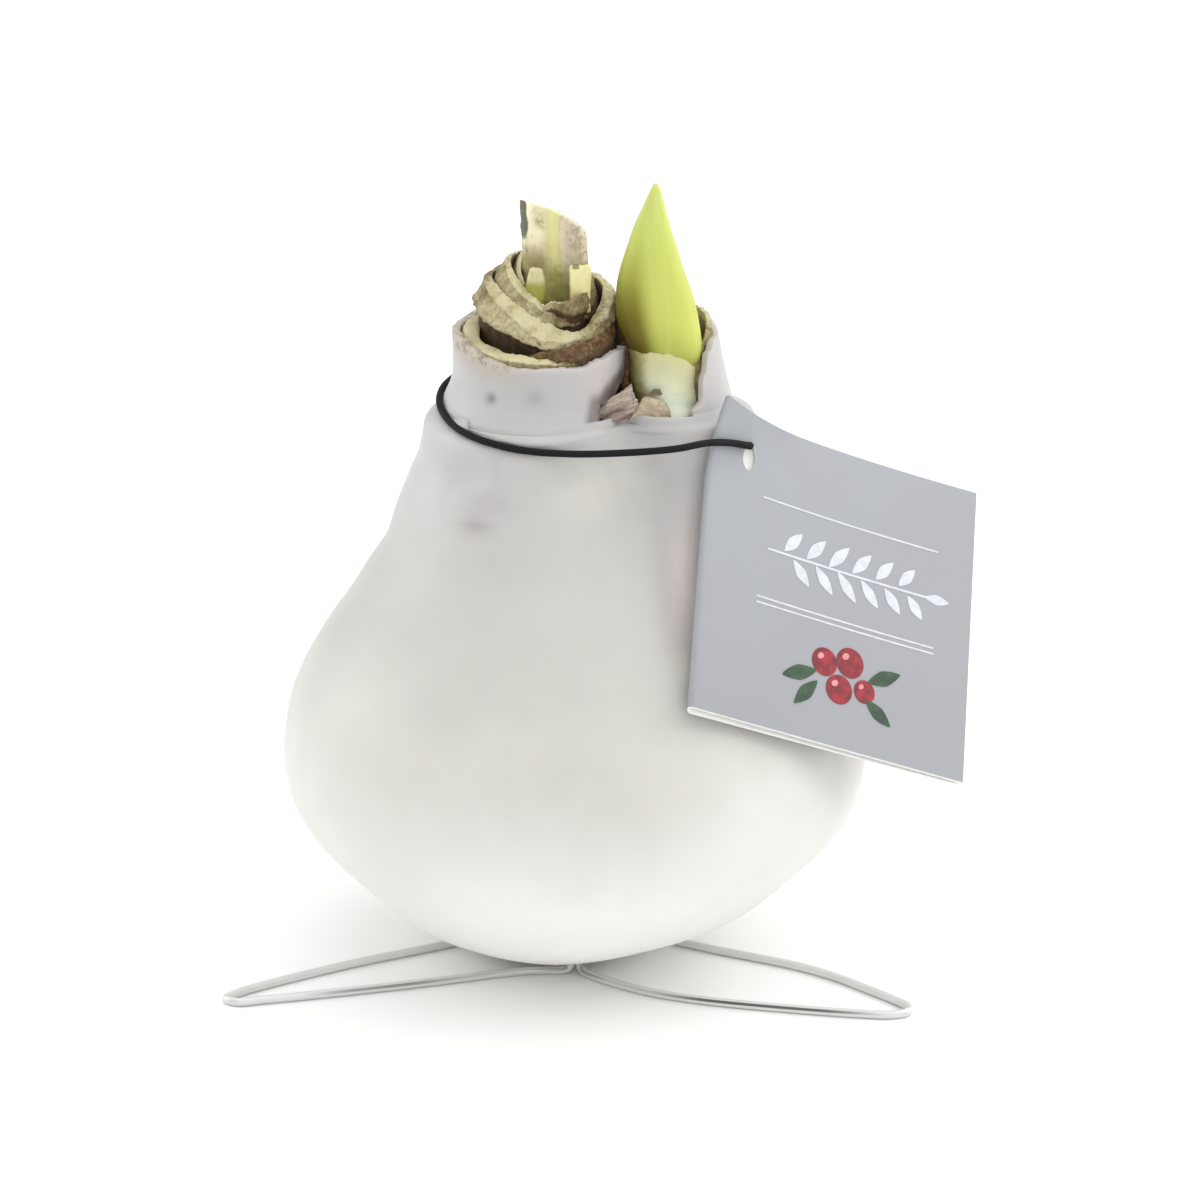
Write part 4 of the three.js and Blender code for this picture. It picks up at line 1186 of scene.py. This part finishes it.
TAG_SIDE = 51.0
TAG_GAP = 0.25                  # between the two leaves at the fold ...
TAG_SPREAD = 0.008              # ... and how much it grows along them
TAG_SLIP = 0.6                  # the far leaf sits a little lower
TAG_CORNER = Vector((21.9, -6.3, 95.8))
TAG_ALONG = Vector((0.861, 0.333, -0.385))
TAG_DOWN = Vector((-0.065, -0.665, -0.744))
TAG_FACE = TAG_DOWN.cross(TAG_ALONG).normalized()
TAG_CURL = 4.5                  # how far the corner at the hole bends out
TAG_BOW = 1.5
TAG_WIDER = 0.016               # the top edge is a little longer than the bottom one
TAG_DIP = 0.5                   # and dips in its middle
TAG_HOLE = (6.95, 6.7, 1.35, 2.2)       # along, down, half width and half height
FAR_HOLE = (7.0, 3.5, 1.0, 1.0)         # the far leaf's hole is smaller and lies higher
# Where the flat card has vertices: round the fold, along each leaf, and down.
FOLD_STOPS = (-1, -0.75, -0.5, -0.25, 0, 0.25, 0.5, 0.75, 1)
NEAR_STOPS = (1, 1.9, 2.8, 3.7, 4.6)
FAR_STOPS = (0.2, 0.28, 0.36, 0.45, 0.55, 0.65, 0.76, 0.88, 1)          # shares of its side
DOWN_STOPS = (0, 0.7, 1.4, 2.0, 9.8, 11.2, 13, 15.5, 19, 23, 27, 32, 37, 42, 47, TAG_SIDE)


def on_tag(along, down, out):
    """A place on the tag: along its top edge, down its fold, and out of its face."""
    corner = max(1 - along / 19 - down / 14, 0)
    bow = TAG_BOW * (1 - along / TAG_SIDE) ** 2 * (1 - down / (1.2 * TAG_SIDE))
    push = out + TAG_CURL * corner ** 2 + bow
    high = 1 - down / TAG_SIDE
    along *= 1 + TAG_WIDER * high
    down += TAG_DIP * high * math.sin(math.pi * clamp(along / TAG_SIDE))
    return TAG_CORNER + TAG_ALONG * along + TAG_DOWN * down + TAG_FACE * push


def cut_holes(bm, half_fold):
    """Leaves a window in each leaf of the flat card, and fills it up to the hole."""
    doomed = []
    for face in bm.faces:
        centre = face.calc_center_median()
        if NEAR_STOPS[-1] < abs(centre.x) - half_fold < FAR_STOPS[0] * TAG_SIDE and (
                DOWN_STOPS[3] < centre.y < DOWN_STOPS[4]):
            doomed.append(face)
    bmesh.ops.delete(bm, geom=doomed, context="FACES")
    for side, (along, down, wide, high) in ((1, TAG_HOLE), (-1, FAR_HOLE)):
        middle = Vector((side * (half_fold + along), down, 0))
        outer = [edge for edge in bm.edges if edge.is_boundary
                 and all(2 < side * vert.co.x < 12 and 1 < vert.co.y < 11 for vert in edge.verts)]
        shape = Matrix.Diagonal((wide, high, 1, 1))
        made = bmesh.ops.create_circle(bm, cap_ends=False, radius=1.0, segments=48,
                                       matrix=Matrix.Translation(middle) @ shape)["verts"]
        inner = list({edge for vert in made for edge in vert.link_edges})
        bmesh.ops.bridge_loops(bm, edges=outer + inner)
    bmesh.ops.triangulate(bm, faces=[face for face in bm.faces if len(face.verts) > 4])


def fold_card(bm, round_fold, card):
    """Bends the flat card round its middle into two leaves, and takes it to its place."""
    half_fold = math.pi / 2 * round_fold
    top = max(vert.co.z for vert in bm.verts)
    bottom = min(vert.co.z for vert in bm.verts)
    for vert in bm.verts:
        x, y = vert.co.x, vert.co.y
        depth = vert.co.z - (top + bottom) / 2
        turn = clamp(x / round_fold, -math.pi / 2, math.pi / 2)
        leaf = max(abs(x) - half_fold, 0)
        reach = round_fold + depth
        behind = 1 if x < 0 else 0
        slip = behind * TAG_SLIP * min(-x / half_fold, 1) * (1 - leaf / TAG_SIDE)
        out = reach * math.sin(turn) - round_fold - card / 2 - behind * TAG_SPREAD * leaf
        vert.co = on_tag(leaf - reach * math.cos(turn), y + slip, out)


def build_tag(settings):
    """One card, bent round its middle into two leaves."""
    bm = bmesh.new()
    card = settings.thickness / MM
    round_fold = (TAG_GAP + card) / 2
    half_fold = math.pi / 2 * round_fold
    # the flat card, in millimetres: x along both leaves, y down
    leaf = [half_fold + stop for stop in NEAR_STOPS]
    leaf += [half_fold + TAG_SIDE * share for share in FAR_STOPS]
    xs = sorted([-stop for stop in leaf] + [half_fold * share for share in FOLD_STOPS] + leaf)
    grid = {(x, y): bm.verts.new((x, y, 0)) for x in xs for y in DOWN_STOPS}
    for x0, x1 in zip(xs, xs[1:]):
        for y0, y1 in zip(DOWN_STOPS, DOWN_STOPS[1:]):
            bm.faces.new((grid[x0, y0], grid[x1, y0], grid[x1, y1], grid[x0, y1]))
    cut_holes(bm, half_fold)
    face_outward(bm)
    if bm.faces[0].normal.z < 0:
        bmesh.ops.reverse_faces(bm, faces=bm.faces[:])
    long_edges = [edge for edge in bm.edges if edge.calc_length() > 2.5]
    bmesh.ops.subdivide_edges(bm, edges=long_edges, cuts=2, use_grid_fill=True)
    bmesh.ops.solidify(bm, geom=bm.faces[:], thickness=-card)
    face_outward(bm)
    bm.normal_update()
    # the card is bare at its edges and inside
    for face in bm.faces:
        face.material_index = 0 if face.normal.z > 0.5 else 1
    fold_card(bm, round_fold, card)
    face_outward(bm)
    return new_piece("hang_tag", bm, card_finish(settings), ["tag"], sharp=40,
                     extra_materials=[core_finish()])


def card_finish(settings):
    f = Finish("tag_card")
    grain = f.noise(0.35, 3, 0.6)
    height = f.ranged(f.height_mm(), 50, 96)
    clouds = f.ranged(f.noise(16, 3), 0.35, 0.65, 0, 0.5)
    tone = f.blend(clouds, settings.color, paint(160, 164, 166))
    # painted shade: the card darkens towards its lower edge
    tone = f.tint(tone, f.rest_of(height), paint(150, 151, 156), 0.6)
    tone = f.tint(tone, grain, paint(178, 181, 185), 0.1)
    return f.finish(tone, f.ranged(grain, 0.3, 0.7, 0.42, 0.5), f.bump(grain, 0.02, 0.3))


def core_finish():
    f = Finish("card_core")
    fibre = f.noise(0.25, 3, 0.7)
    tone = f.blend(fibre, paint(226, 226, 222), paint(246, 246, 244))
    return f.finish(tone, 0.8, f.bump(fibre, 0.05, 0.5))


# The printed shapes: middle along and down the tag, half length and half width, and a
# leaf's turn. A berry has a radius.
RULES = [(27, 12.5, 17, 0.16), (27, 29.5, 17, 0.16), (27, 30.5, 17, 0.16)]
SPRIG_STEM = (27, 21, 15.5, 0.2)
SPRIG_LEAVES = 6
BERRIES = [(23.4, 37.2, 2.4), (28.2, 36.2, 2.6), (26.4, 41.2, 2.5), (31.2, 40.4, 2.0)]
BERRY_LEAVES = [(18.8, 40.2, 3.4, 1.3, 160), (20.2, 43.2, 3.2, 1.2, 130),
                (34.8, 37.2, 3.4, 1.3, -25), (34.0, 43.4, 3.0, 1.2, 35)]
INKS = {
    "white_ink": ((216, 219, 225), (203, 206, 214)), "red_ink": ((160, 27, 40), (112, 16, 28)),
    "green_ink": ((52, 84, 52), (34, 60, 40)), "pale_ink": ((224, 150, 150), (214, 130, 134)),
}
PRINT_LIFT = 0.05               # the ink lies so far in front of the card


def place_print(bm, made, along, down, turn, ink):
    """Turns printed vertices, takes them to their place on the card and inks their faces."""
    turned = Matrix.Rotation(math.radians(turn), 4, "Z")
    bmesh.ops.transform(bm, matrix=Matrix.Translation((along, down, 0)) @ turned, verts=made)
    for face in {face for vert in made for face in vert.link_faces}:
        face.material_index = ink


def print_oval(bm, along, down, half_long, half_wide, turn, pointed, ink):
    """A flat oval or leaf in the card's plane; x is along it and y is down it."""
    made = bmesh.ops.create_circle(bm, cap_ends=True, segments=28, radius=1.0)["verts"]
    for vert in made:
        narrow = (1 - abs(vert.co.x)) ** 0.35 if pointed else 1.0
        vert.co = Vector((vert.co.x * half_long, vert.co.y * narrow * half_wide, 0))
    place_print(bm, made, along, down, turn, ink)


def print_rule(bm, along, down, half_long, half_wide, ink):
    """A thin printed line along the card."""
    made = bmesh.ops.create_grid(bm, x_segments=14, y_segments=1, size=1.0)["verts"]
    for vert in made:
        vert.co = Vector((vert.co.x * half_long, vert.co.y * half_wide, 0))
    place_print(bm, made, along, down, 0, ink)


def build_print():
    """A plain printed design: rules, a white sprig of leaves, and berries with leaves."""
    bm = bmesh.new()
    white, red, green, shine = range(len(INKS))
    for rule in RULES + [SPRIG_STEM]:
        print_rule(bm, *rule, white)
    stem_along, stem_down = SPRIG_STEM[:2]
    for index in range(SPRIG_LEAVES):
        for side in (-1, 1):
            along = stem_along - 11.5 + 4.4 * index + 0.9 * side
            size = 2.9 - 0.2 * abs(index - 2)
            print_oval(bm, along + 1.6, stem_down + 2.4 * side, size, 1.0, 50 * side, True, white)
    print_oval(bm, stem_along + 17.2, stem_down, 2.4, 0.9, 0, True, white)
    for leaf in BERRY_LEAVES:
        print_oval(bm, *leaf, True, green)
    for along, down, radius in BERRIES:
        print_oval(bm, along, down, radius, radius, 0, False, red)
    lift = {vert: PRINT_LIFT * (1 + 0.4 * face.material_index)
            for face in bm.faces for vert in face.verts}
    old = set(bm.verts)
    for along, down, radius in BERRIES:
        aside = 0.35 * radius
        print_oval(bm, along - aside, down - aside, 0.28 * radius, 0.2 * radius, -40, False, shine)
    lift.update({vert: 2.4 * PRINT_LIFT for vert in bm.verts if vert not in old})
    for vert in bm.verts:
        vert.co = on_tag(vert.co.x, vert.co.y, lift[vert])
    bmesh.ops.triangulate(bm, faces=[face for face in bm.faces if len(face.verts) > 4])
    bm.normal_update()
    turned = [face for face in bm.faces if face.normal.dot(TAG_FACE) < 0]
    bmesh.ops.reverse_faces(bm, faces=turned)
    inks = [ink_finish(name, *tones) for name, tones in INKS.items()]
    return new_piece("tag_print", bm, inks[0], sharp=40, extra_materials=inks[1:])


def ink_finish(name, light, dark):
    f = Finish(name)
    tone = f.blend(f.ranged(f.noise(1.6, 4, 0.6), 0.35, 0.65), paint(*light), paint(*dark))
    return f.finish(tone, 0.45, f.bump(f.noise(0.35, 3, 0.6), 0.02, 0.3))


def beside_shoulder(degrees, z, clear):
    """Where the elastic touches the wax below the shoulder."""
    radius = along_table([(height, reach) for reach, height in OUTLINE], z)
    place = shape_wax(radius, math.radians(degrees), z)
    return place + (place - Vector((NECK_LEAN, 0, z))).normalized() * clear


ELASTIC_SIDES = 14
ELASTIC_ROUTE = [               # from the tag's front leftwards round both necks
    (21.3, -14.4, 92.7), (16, -17.2, 92.6), (8, -17.7, 92.1), (-1, -17.6, 91.9),
    (-9, -16.6, 92.3), (-15.7, -13.9, 93.4), (-19.8, -8.2, 94.2), (-21.8, -1, 95.5),
    (-20.6, 6.2, 96.6), (-16, 11.8, 97.6), (-8, 15.4, 98.2), (2, 15.8, 98.2), (11, 14.6, 97.4),
    (18.6, 13, 95.2),
]
ELASTIC_FALL = ((32, 92.6), (14, 90.4), (-4, 89.4))     # direction and height on the shoulder


def elastic_route(thickness):
    """Places along the elastic, through the tag's hole and round the necks."""
    along, down = TAG_HOLE[:2]
    front = on_tag(along - 0.6, down - 1.6, 0.5)
    before = on_tag(along - 4.6, down - 0.5, 0.75)
    behind = on_tag(along - 0.2, down - 3.2, -2.2)
    # from the neck it falls over the shoulder to the back of the tag
    clear = thickness / 2 + 0.1
    fall = [beside_shoulder(degrees, z, clear) for degrees, z in ELASTIC_FALL]
    return [front, before] + [Vector(place) for place in ELASTIC_ROUTE] + fall + [behind]


def build_elastic(settings):
    bm = bmesh.new()
    thickness = settings.diameter / MM
    path = through(elastic_route(thickness), 18, closed=True)
    sweep(bm, path, thickness / 2, ELASTIC_SIDES, closed=True)
    face_outward(bm)
    return new_piece("elastic_loop", bm, elastic_finish(settings), ["elastic_cord"])


def elastic_finish(settings):
    f = Finish("black_elastic")
    knit = f.noise(0.35, 2, 0.5)
    tone = f.blend(knit, settings.color, paint(20, 20, 22))
    return f.finish(tone, 0.7, f.bump(knit, 0.1, 0.6), Specular_IOR_Level=0.25)


# ------------------------------------------------------------------ wire stand

WIRE_SIDES = 16
PRONG = (0.7, -14.2, 15.0)      # half the prongs' distance, their y and their height
STAND_BEND = 1.5                # radius of the bend at each prong's foot
STAND_ROUTE = [                 # (x, y) of the wire on the floor, from prong to prong
    (3.6, -17.0), (8.1, -20.2), (13.6, -23.2), (21, -25.7), (32, -28.2), (46, -30.6), (51.2, -31),
    (53.9, -30.1), (54.3, -28.1), (52.4, -25.7), (48.4, -21.8), (43, -16.8), (37, -12.7),
    (21.4, -5.2), (15.4, -1.6), (11.6, 3.6), (10.3, 10), (9.7, 23), (8.2, 39), (6, 50),
    (3.6, 57.5), (1.6, 60.6), (-1.6, 60.6), (-3.6, 57.5), (-6, 50), (-8.2, 39), (-9.7, 23),
    (-10.3, 10), (-11.6, 4.4), (-15.6, -0.6), (-21.6, -4), (-37, -11.6), (-51.6, -20.2),
    (-55.6, -23.2), (-57, -25.1), (-55.2, -26.3), (-51, -25.5), (-36, -22), (-20.4, -17.8),
    (-13, -15.6), (-7.5, -14.4),
]
# How strongly a dark reflection is painted along the wire's upper side, by the distance from its
# right and from its left end.
RIGHT_REFLECTION = [(15, 0.7), (22, 0.2), (28, 0.3), (38, 1.0), (56, 1.0), (70, 0.0)]
LEFT_REFLECTION = [(15, 0.6), (22, 0.2), (30, 0.35), (42, 0.8), (50, 0.7), (60, 0.0)]


def build_stand(settings):
    bm = bmesh.new()
    ground = settings.diameter / 2 / MM
    apart, prong_y, prong_top = PRONG

    def prong(side):
        heights = (prong_top, 8, 4, ground + STAND_BEND)
        return [Vector((side * apart, prong_y, height)) for height in heights]

    def turn(side, along_x, along_y):
        near = 0.3 * STAND_BEND
        return [
            Vector((side * apart + near * along_x, prong_y + near * along_y, ground + near)),
            Vector((side * apart + STAND_BEND * along_x, prong_y + STAND_BEND * along_y, ground)),
        ]

    places = prong(1) + turn(1, 0.71, -0.71)
    places += [Vector((x, y, ground)) for x, y in STAND_ROUTE]
    places += turn(-1, -1, 0)[::-1] + prong(-1)[::-1]
    path = [Vector((place.x, place.y, max(place.z, ground))) for place in through(places, 8)]
    sweep(bm, path, ground, WIRE_SIDES)
    face_outward(bm)
    # the two front runs have a painted dark reflection along their upper side
    along_layer = bm.verts.layers.float["along"]
    dark_reflection_layer = bm.verts.layers.float.new("dark_reflection")
    length = max(vert[along_layer] for vert in bm.verts)
    for vert in bm.verts:
        right = along_table(RIGHT_REFLECTION, vert[along_layer])
        left = along_table(LEFT_REFLECTION, length - vert[along_layer])
        vert[dark_reflection_layer] = max(right, left)
    return new_piece("stand_wire", bm, wire_finish(settings), ["wire_stand"])


def wire_finish(settings):
    f = Finish("bright_steel_wire")
    drawn = f.noise(1.6, 2, 0.5)
    tone = f.blend(drawn, paint(216, 217, 215), settings.color)
    upper = f.axis("Z", f.node("ShaderNodeNewGeometry").outputs["Normal"])
    # a painted dark reflection along the upper side of the front runs
    line = f.times(f.ranged(upper, 0.05, 0.3), f.ranged(upper, 0.7, 0.85, 1, 0))
    line = f.times(line, f.attribute("dark_reflection"))
    tone = f.tint(tone, line, paint(70, 72, 72), 0.9)
    # painted shade: the prongs darken where they rise into the shade under the bulb
    tone = f.tint(tone, f.ranged(f.height_mm(), 1.5, 2.4, 0.0, 0.6), paint(130, 132, 130))
    return f.finish(tone, f.ranged(drawn, 0.3, 0.7, 0.28, 0.36), Metallic=0.3)


# ------------------------------------------------------------- stage and camera

CAMERA_TARGET = Vector((0.04, -6.875, 61.0))
CAMERA_DISTANCE = 650.0
CAMERA_ELEVATION = 20.0
CAMERA_LENS = 118.6
SENSOR_WIDTH = 36.0
FLOOR_SIZE = 4.0
SOFTBOXES = {
    # place, target, size, the setting for the power, and how much of it
    "left_softbox": ((-0.9, 0.15, 0.5), (0, 0, 0.06), (0.9, 0.9), "side_light", 1.03),
    "right_softbox": ((0.9, 0.2, 0.5), (0, 0, 0.06), (0.9, 0.9), "side_light", 1.0),
    "top_softbox": ((0.3, 0.1, 1.2), (0, 0, 0.0), (2.0, 2.0), "top_light", 1.0),
    "front_softbox": ((0.25, -1.3, 0.55), (0, 0, 0.06), (1.2, 1.0), "front_light", 1.0),
}


def area_light(name, place, target, size, power):
    data = bpy.data.lights.new(name, "AREA")
    data.shape = "RECTANGLE"
    data.size, data.size_y = size
    data.energy = power
    lamp = bpy.data.objects.new(name, data)
    lamp.location = place
    lamp.rotation_euler = (Vector(target) - Vector(place)).to_track_quat("-Z", "Y").to_euler()
    bpy.context.scene.collection.objects.link(lamp)
    return lamp


def build_stage(settings):
    scene = bpy.context.scene
    bm = bmesh.new()
    bmesh.ops.create_grid(bm, x_segments=8, y_segments=8, size=FLOOR_SIZE)
    mesh = bpy.data.meshes.new("floor")
    bm.to_mesh(mesh)
    bm.free()
    floor = bpy.data.objects.new("floor", mesh)
    scene.collection.objects.link(floor)
    f = Finish("pale_floor")
    mesh.materials.append(f.finish(paint(250, 250, 250), 0.9))

    world = scene.world or bpy.data.worlds.new("studio")
    scene.world = world
    world.use_nodes = True
    background = world.node_tree.nodes["Background"]
    background.inputs["Color"].default_value = (1, 1, 1, 1)
    background.inputs["Strength"].default_value = settings.ambient
    for name, (place, target, size, power, share) in SOFTBOXES.items():
        area_light(name, place, target, size, share * getattr(settings, power))

    data = bpy.data.cameras.new("camera")
    data.lens = CAMERA_LENS
    data.sensor_width = SENSOR_WIDTH
    camera = bpy.data.objects.new("camera", data)
    rise = math.radians(CAMERA_ELEVATION)
    back = Vector((0, -math.cos(rise), math.sin(rise)))
    camera.location = (CAMERA_TARGET + back * CAMERA_DISTANCE) * MM
    camera.rotation_mode = "QUATERNION"
    camera.rotation_quaternion = (-back).to_track_quat("-Z", "Y")
    scene.collection.objects.link(camera)
    scene.camera = camera
    scene.view_settings.view_transform = "Standard"


# --------------------------------------------------------------------- add-on


def color_setting(name, description, *color):
    return bpy.props.FloatVectorProperty(
        name=name, description=description, default=paint(*color), size=4, min=0, max=1,
        subtype="COLOR")


def length_setting(name, description, length, least):
    """A length whose default and least value are given in millimetres."""
    return bpy.props.FloatProperty(
        name=name, description=description, default=length * MM, min=least * MM, precision=4,
        unit="LENGTH")


def power_setting(name, description, power):
    return bpy.props.FloatProperty(
        name=name, description=description, default=power, min=0, unit="POWER")


class WaxSettings(bpy.types.PropertyGroup):
    facets: bpy.props.IntProperty(
        name="Facets", description="Facets round the wax coat", default=240, min=48)
    wall: length_setting("Wall", "Thickness of the wax coat", 1.3, 0.2)
    foot_color: color_setting("Foot", "Colour of the wax near the foot", 243, 242, 237)
    neck_color: color_setting("Neck", "Colour of the wax on the necks", 188, 187, 186)


class ScaleSettings(bpy.types.PropertyGroup):
    facets: bpy.props.IntProperty(
        name="Facets", description="Facets round each cut scale", default=220, min=48)
    flesh_color: color_setting("Flesh", "Colour of the cut flesh", 206, 198, 156)
    # the colour of the shade painted where the scales close in
    hollow_shade_color: color_setting("Hollows", "Colour deep between the scales", 80, 62, 34)


class BudSettings(bpy.types.PropertyGroup):
    light_color: color_setting("Lit side", "Colour of the bud's lit side", 198, 206, 104)
    shade_color: color_setting("Olive side", "Colour of the bud's olive side", 122, 116, 2)
    film_color: color_setting("Wax film", "Colour of the thin wax on the bud's foot", 234, 236, 210)


class LeafSettings(bpy.types.PropertyGroup):
    thickness: length_setting("Thickness", "Thickness of the tall cut leaf", 1.1, 0.2)
    color: color_setting("Leaf", "Colour of the tall cut leaf", 243, 236, 204)


class TagSettings(bpy.types.PropertyGroup):
    thickness: length_setting("Thickness", "Thickness of the card", 0.6, 0.1)
    color: color_setting("Card", "Colour of the card", 157, 159, 165)


class ElasticSettings(bpy.types.PropertyGroup):
    diameter: length_setting("Diameter", "Diameter of the elastic", 1.15, 0.4)
    color: color_setting("Elastic", "Colour of the elastic", 9, 9, 10)


class StandSettings(bpy.types.PropertyGroup):
    diameter: length_setting("Diameter", "Diameter of the stand's wire", 1.4, 0.5)
    color: color_setting("Wire", "Colour of the wire", 228, 228, 226)


class StageSettings(bpy.types.PropertyGroup):
    ambient: bpy.props.FloatProperty(
        name="Ambient", description="Strength of the white surroundings", default=0.5, min=0)
    side_light: power_setting("Side light", "Power of each side softbox", 4.2)
    front_light: power_setting("Front light", "Power of the softbox in front", 3.6)
    top_light: power_setting("Top light", "Power of the softbox above", 15)


class BULB_OT_stage(bpy.types.Operator):
    """Make the floor, the lights and the camera"""

    bl_idname = "bulb.stage"
    bl_label = "Stage"

    def execute(self, context):
        build_stage(context.scene.bulb_stage)
        return {"FINISHED"}


class BULB_OT_wax(bpy.types.Operator):
    """Make the wax coat"""

    bl_idname = "bulb.wax"
    bl_label = "Wax coat"

    def execute(self, context):
        build_wax(context.scene.bulb_wax, context.scene.bulb_elastic)
        return {"FINISHED"}


class BULB_OT_bud(bpy.types.Operator):
    """Make the flower bud and the wax on its foot"""

    bl_idname = "bulb.bud"
    bl_label = "Flower bud"

    def execute(self, context):
        build_bud(context.scene.bulb_bud)
        build_bud_film(context.scene.bulb_bud)
        return {"FINISHED"}


class BULB_OT_scales(bpy.types.Operator):
    """Make the bulb with its cut scales"""

    bl_idname = "bulb.scales"
    bl_label = "Bulb and scales"

    def execute(self, context):
        build_bulb(context.scene.bulb_scales)
        return {"FINISHED"}


class BULB_OT_leaves(bpy.types.Operator):
    """Make the cut leaf, the two stubs and the dry scraps"""

    bl_idname = "bulb.leaves"
    bl_label = "Cut leaves"

    def execute(self, context):
        build_leaf(context.scene.bulb_leaf)
        build_stubs()
        build_scraps()
        return {"FINISHED"}


class BULB_OT_tag(bpy.types.Operator):
    """Make the hang tag"""

    bl_idname = "bulb.tag"
    bl_label = "Hang tag"

    def execute(self, context):
        build_tag(context.scene.bulb_tag)
        build_print()
        return {"FINISHED"}


class BULB_OT_elastic(bpy.types.Operator):
    """Make the elastic"""

    bl_idname = "bulb.elastic"
    bl_label = "Elastic"

    def execute(self, context):
        build_elastic(context.scene.bulb_elastic)
        return {"FINISHED"}


class BULB_OT_stand(bpy.types.Operator):
    """Make the wire stand"""

    bl_idname = "bulb.stand"
    bl_label = "Wire stand"

    def execute(self, context):
        build_stand(context.scene.bulb_stand)
        return {"FINISHED"}


OPERATORS = [BULB_OT_stage, BULB_OT_wax, BULB_OT_scales, BULB_OT_bud, BULB_OT_leaves, BULB_OT_tag,
             BULB_OT_elastic, BULB_OT_stand]


class BULB_PT_panel(bpy.types.Panel):
    """Sizes of the bulb, and buttons that make its pieces"""

    bl_idname = "BULB_PT_panel"
    bl_label = "Waxed bulb"
    bl_space_type = "VIEW_3D"
    bl_region_type = "UI"
    bl_category = "Bulb"

    def draw(self, context):
        column = self.layout.column()
        for group in SETTINGS:
            settings = getattr(context.scene, group)
            column.label(text=group.removeprefix("bulb_").capitalize())
            for key in settings.bl_rna.properties.keys():
                if key not in ("rna_type", "name"):
                    column.prop(settings, key)
        for operator in OPERATORS:
            column.operator(operator.bl_idname)


SETTINGS = {
    "bulb_wax": WaxSettings, "bulb_scales": ScaleSettings, "bulb_bud": BudSettings,
    "bulb_leaf": LeafSettings, "bulb_tag": TagSettings, "bulb_elastic": ElasticSettings,
    "bulb_stand": StandSettings, "bulb_stage": StageSettings,
}
CLASSES = [*SETTINGS.values(), *OPERATORS, BULB_PT_panel]


def register():
    for entry in CLASSES:
        bpy.utils.register_class(entry)
    for name, group in SETTINGS.items():
        setattr(bpy.types.Scene, name, bpy.props.PointerProperty(type=group))


def unregister():
    for name in SETTINGS:
        delattr(bpy.types.Scene, name)
    for entry in reversed(CLASSES):
        bpy.utils.unregister_class(entry)


def main():
    register()
    for operator in OPERATORS:
        group, name = operator.bl_idname.split(".")
        getattr(getattr(bpy.ops, group), name)()


if __name__ == "__main__":
    main()
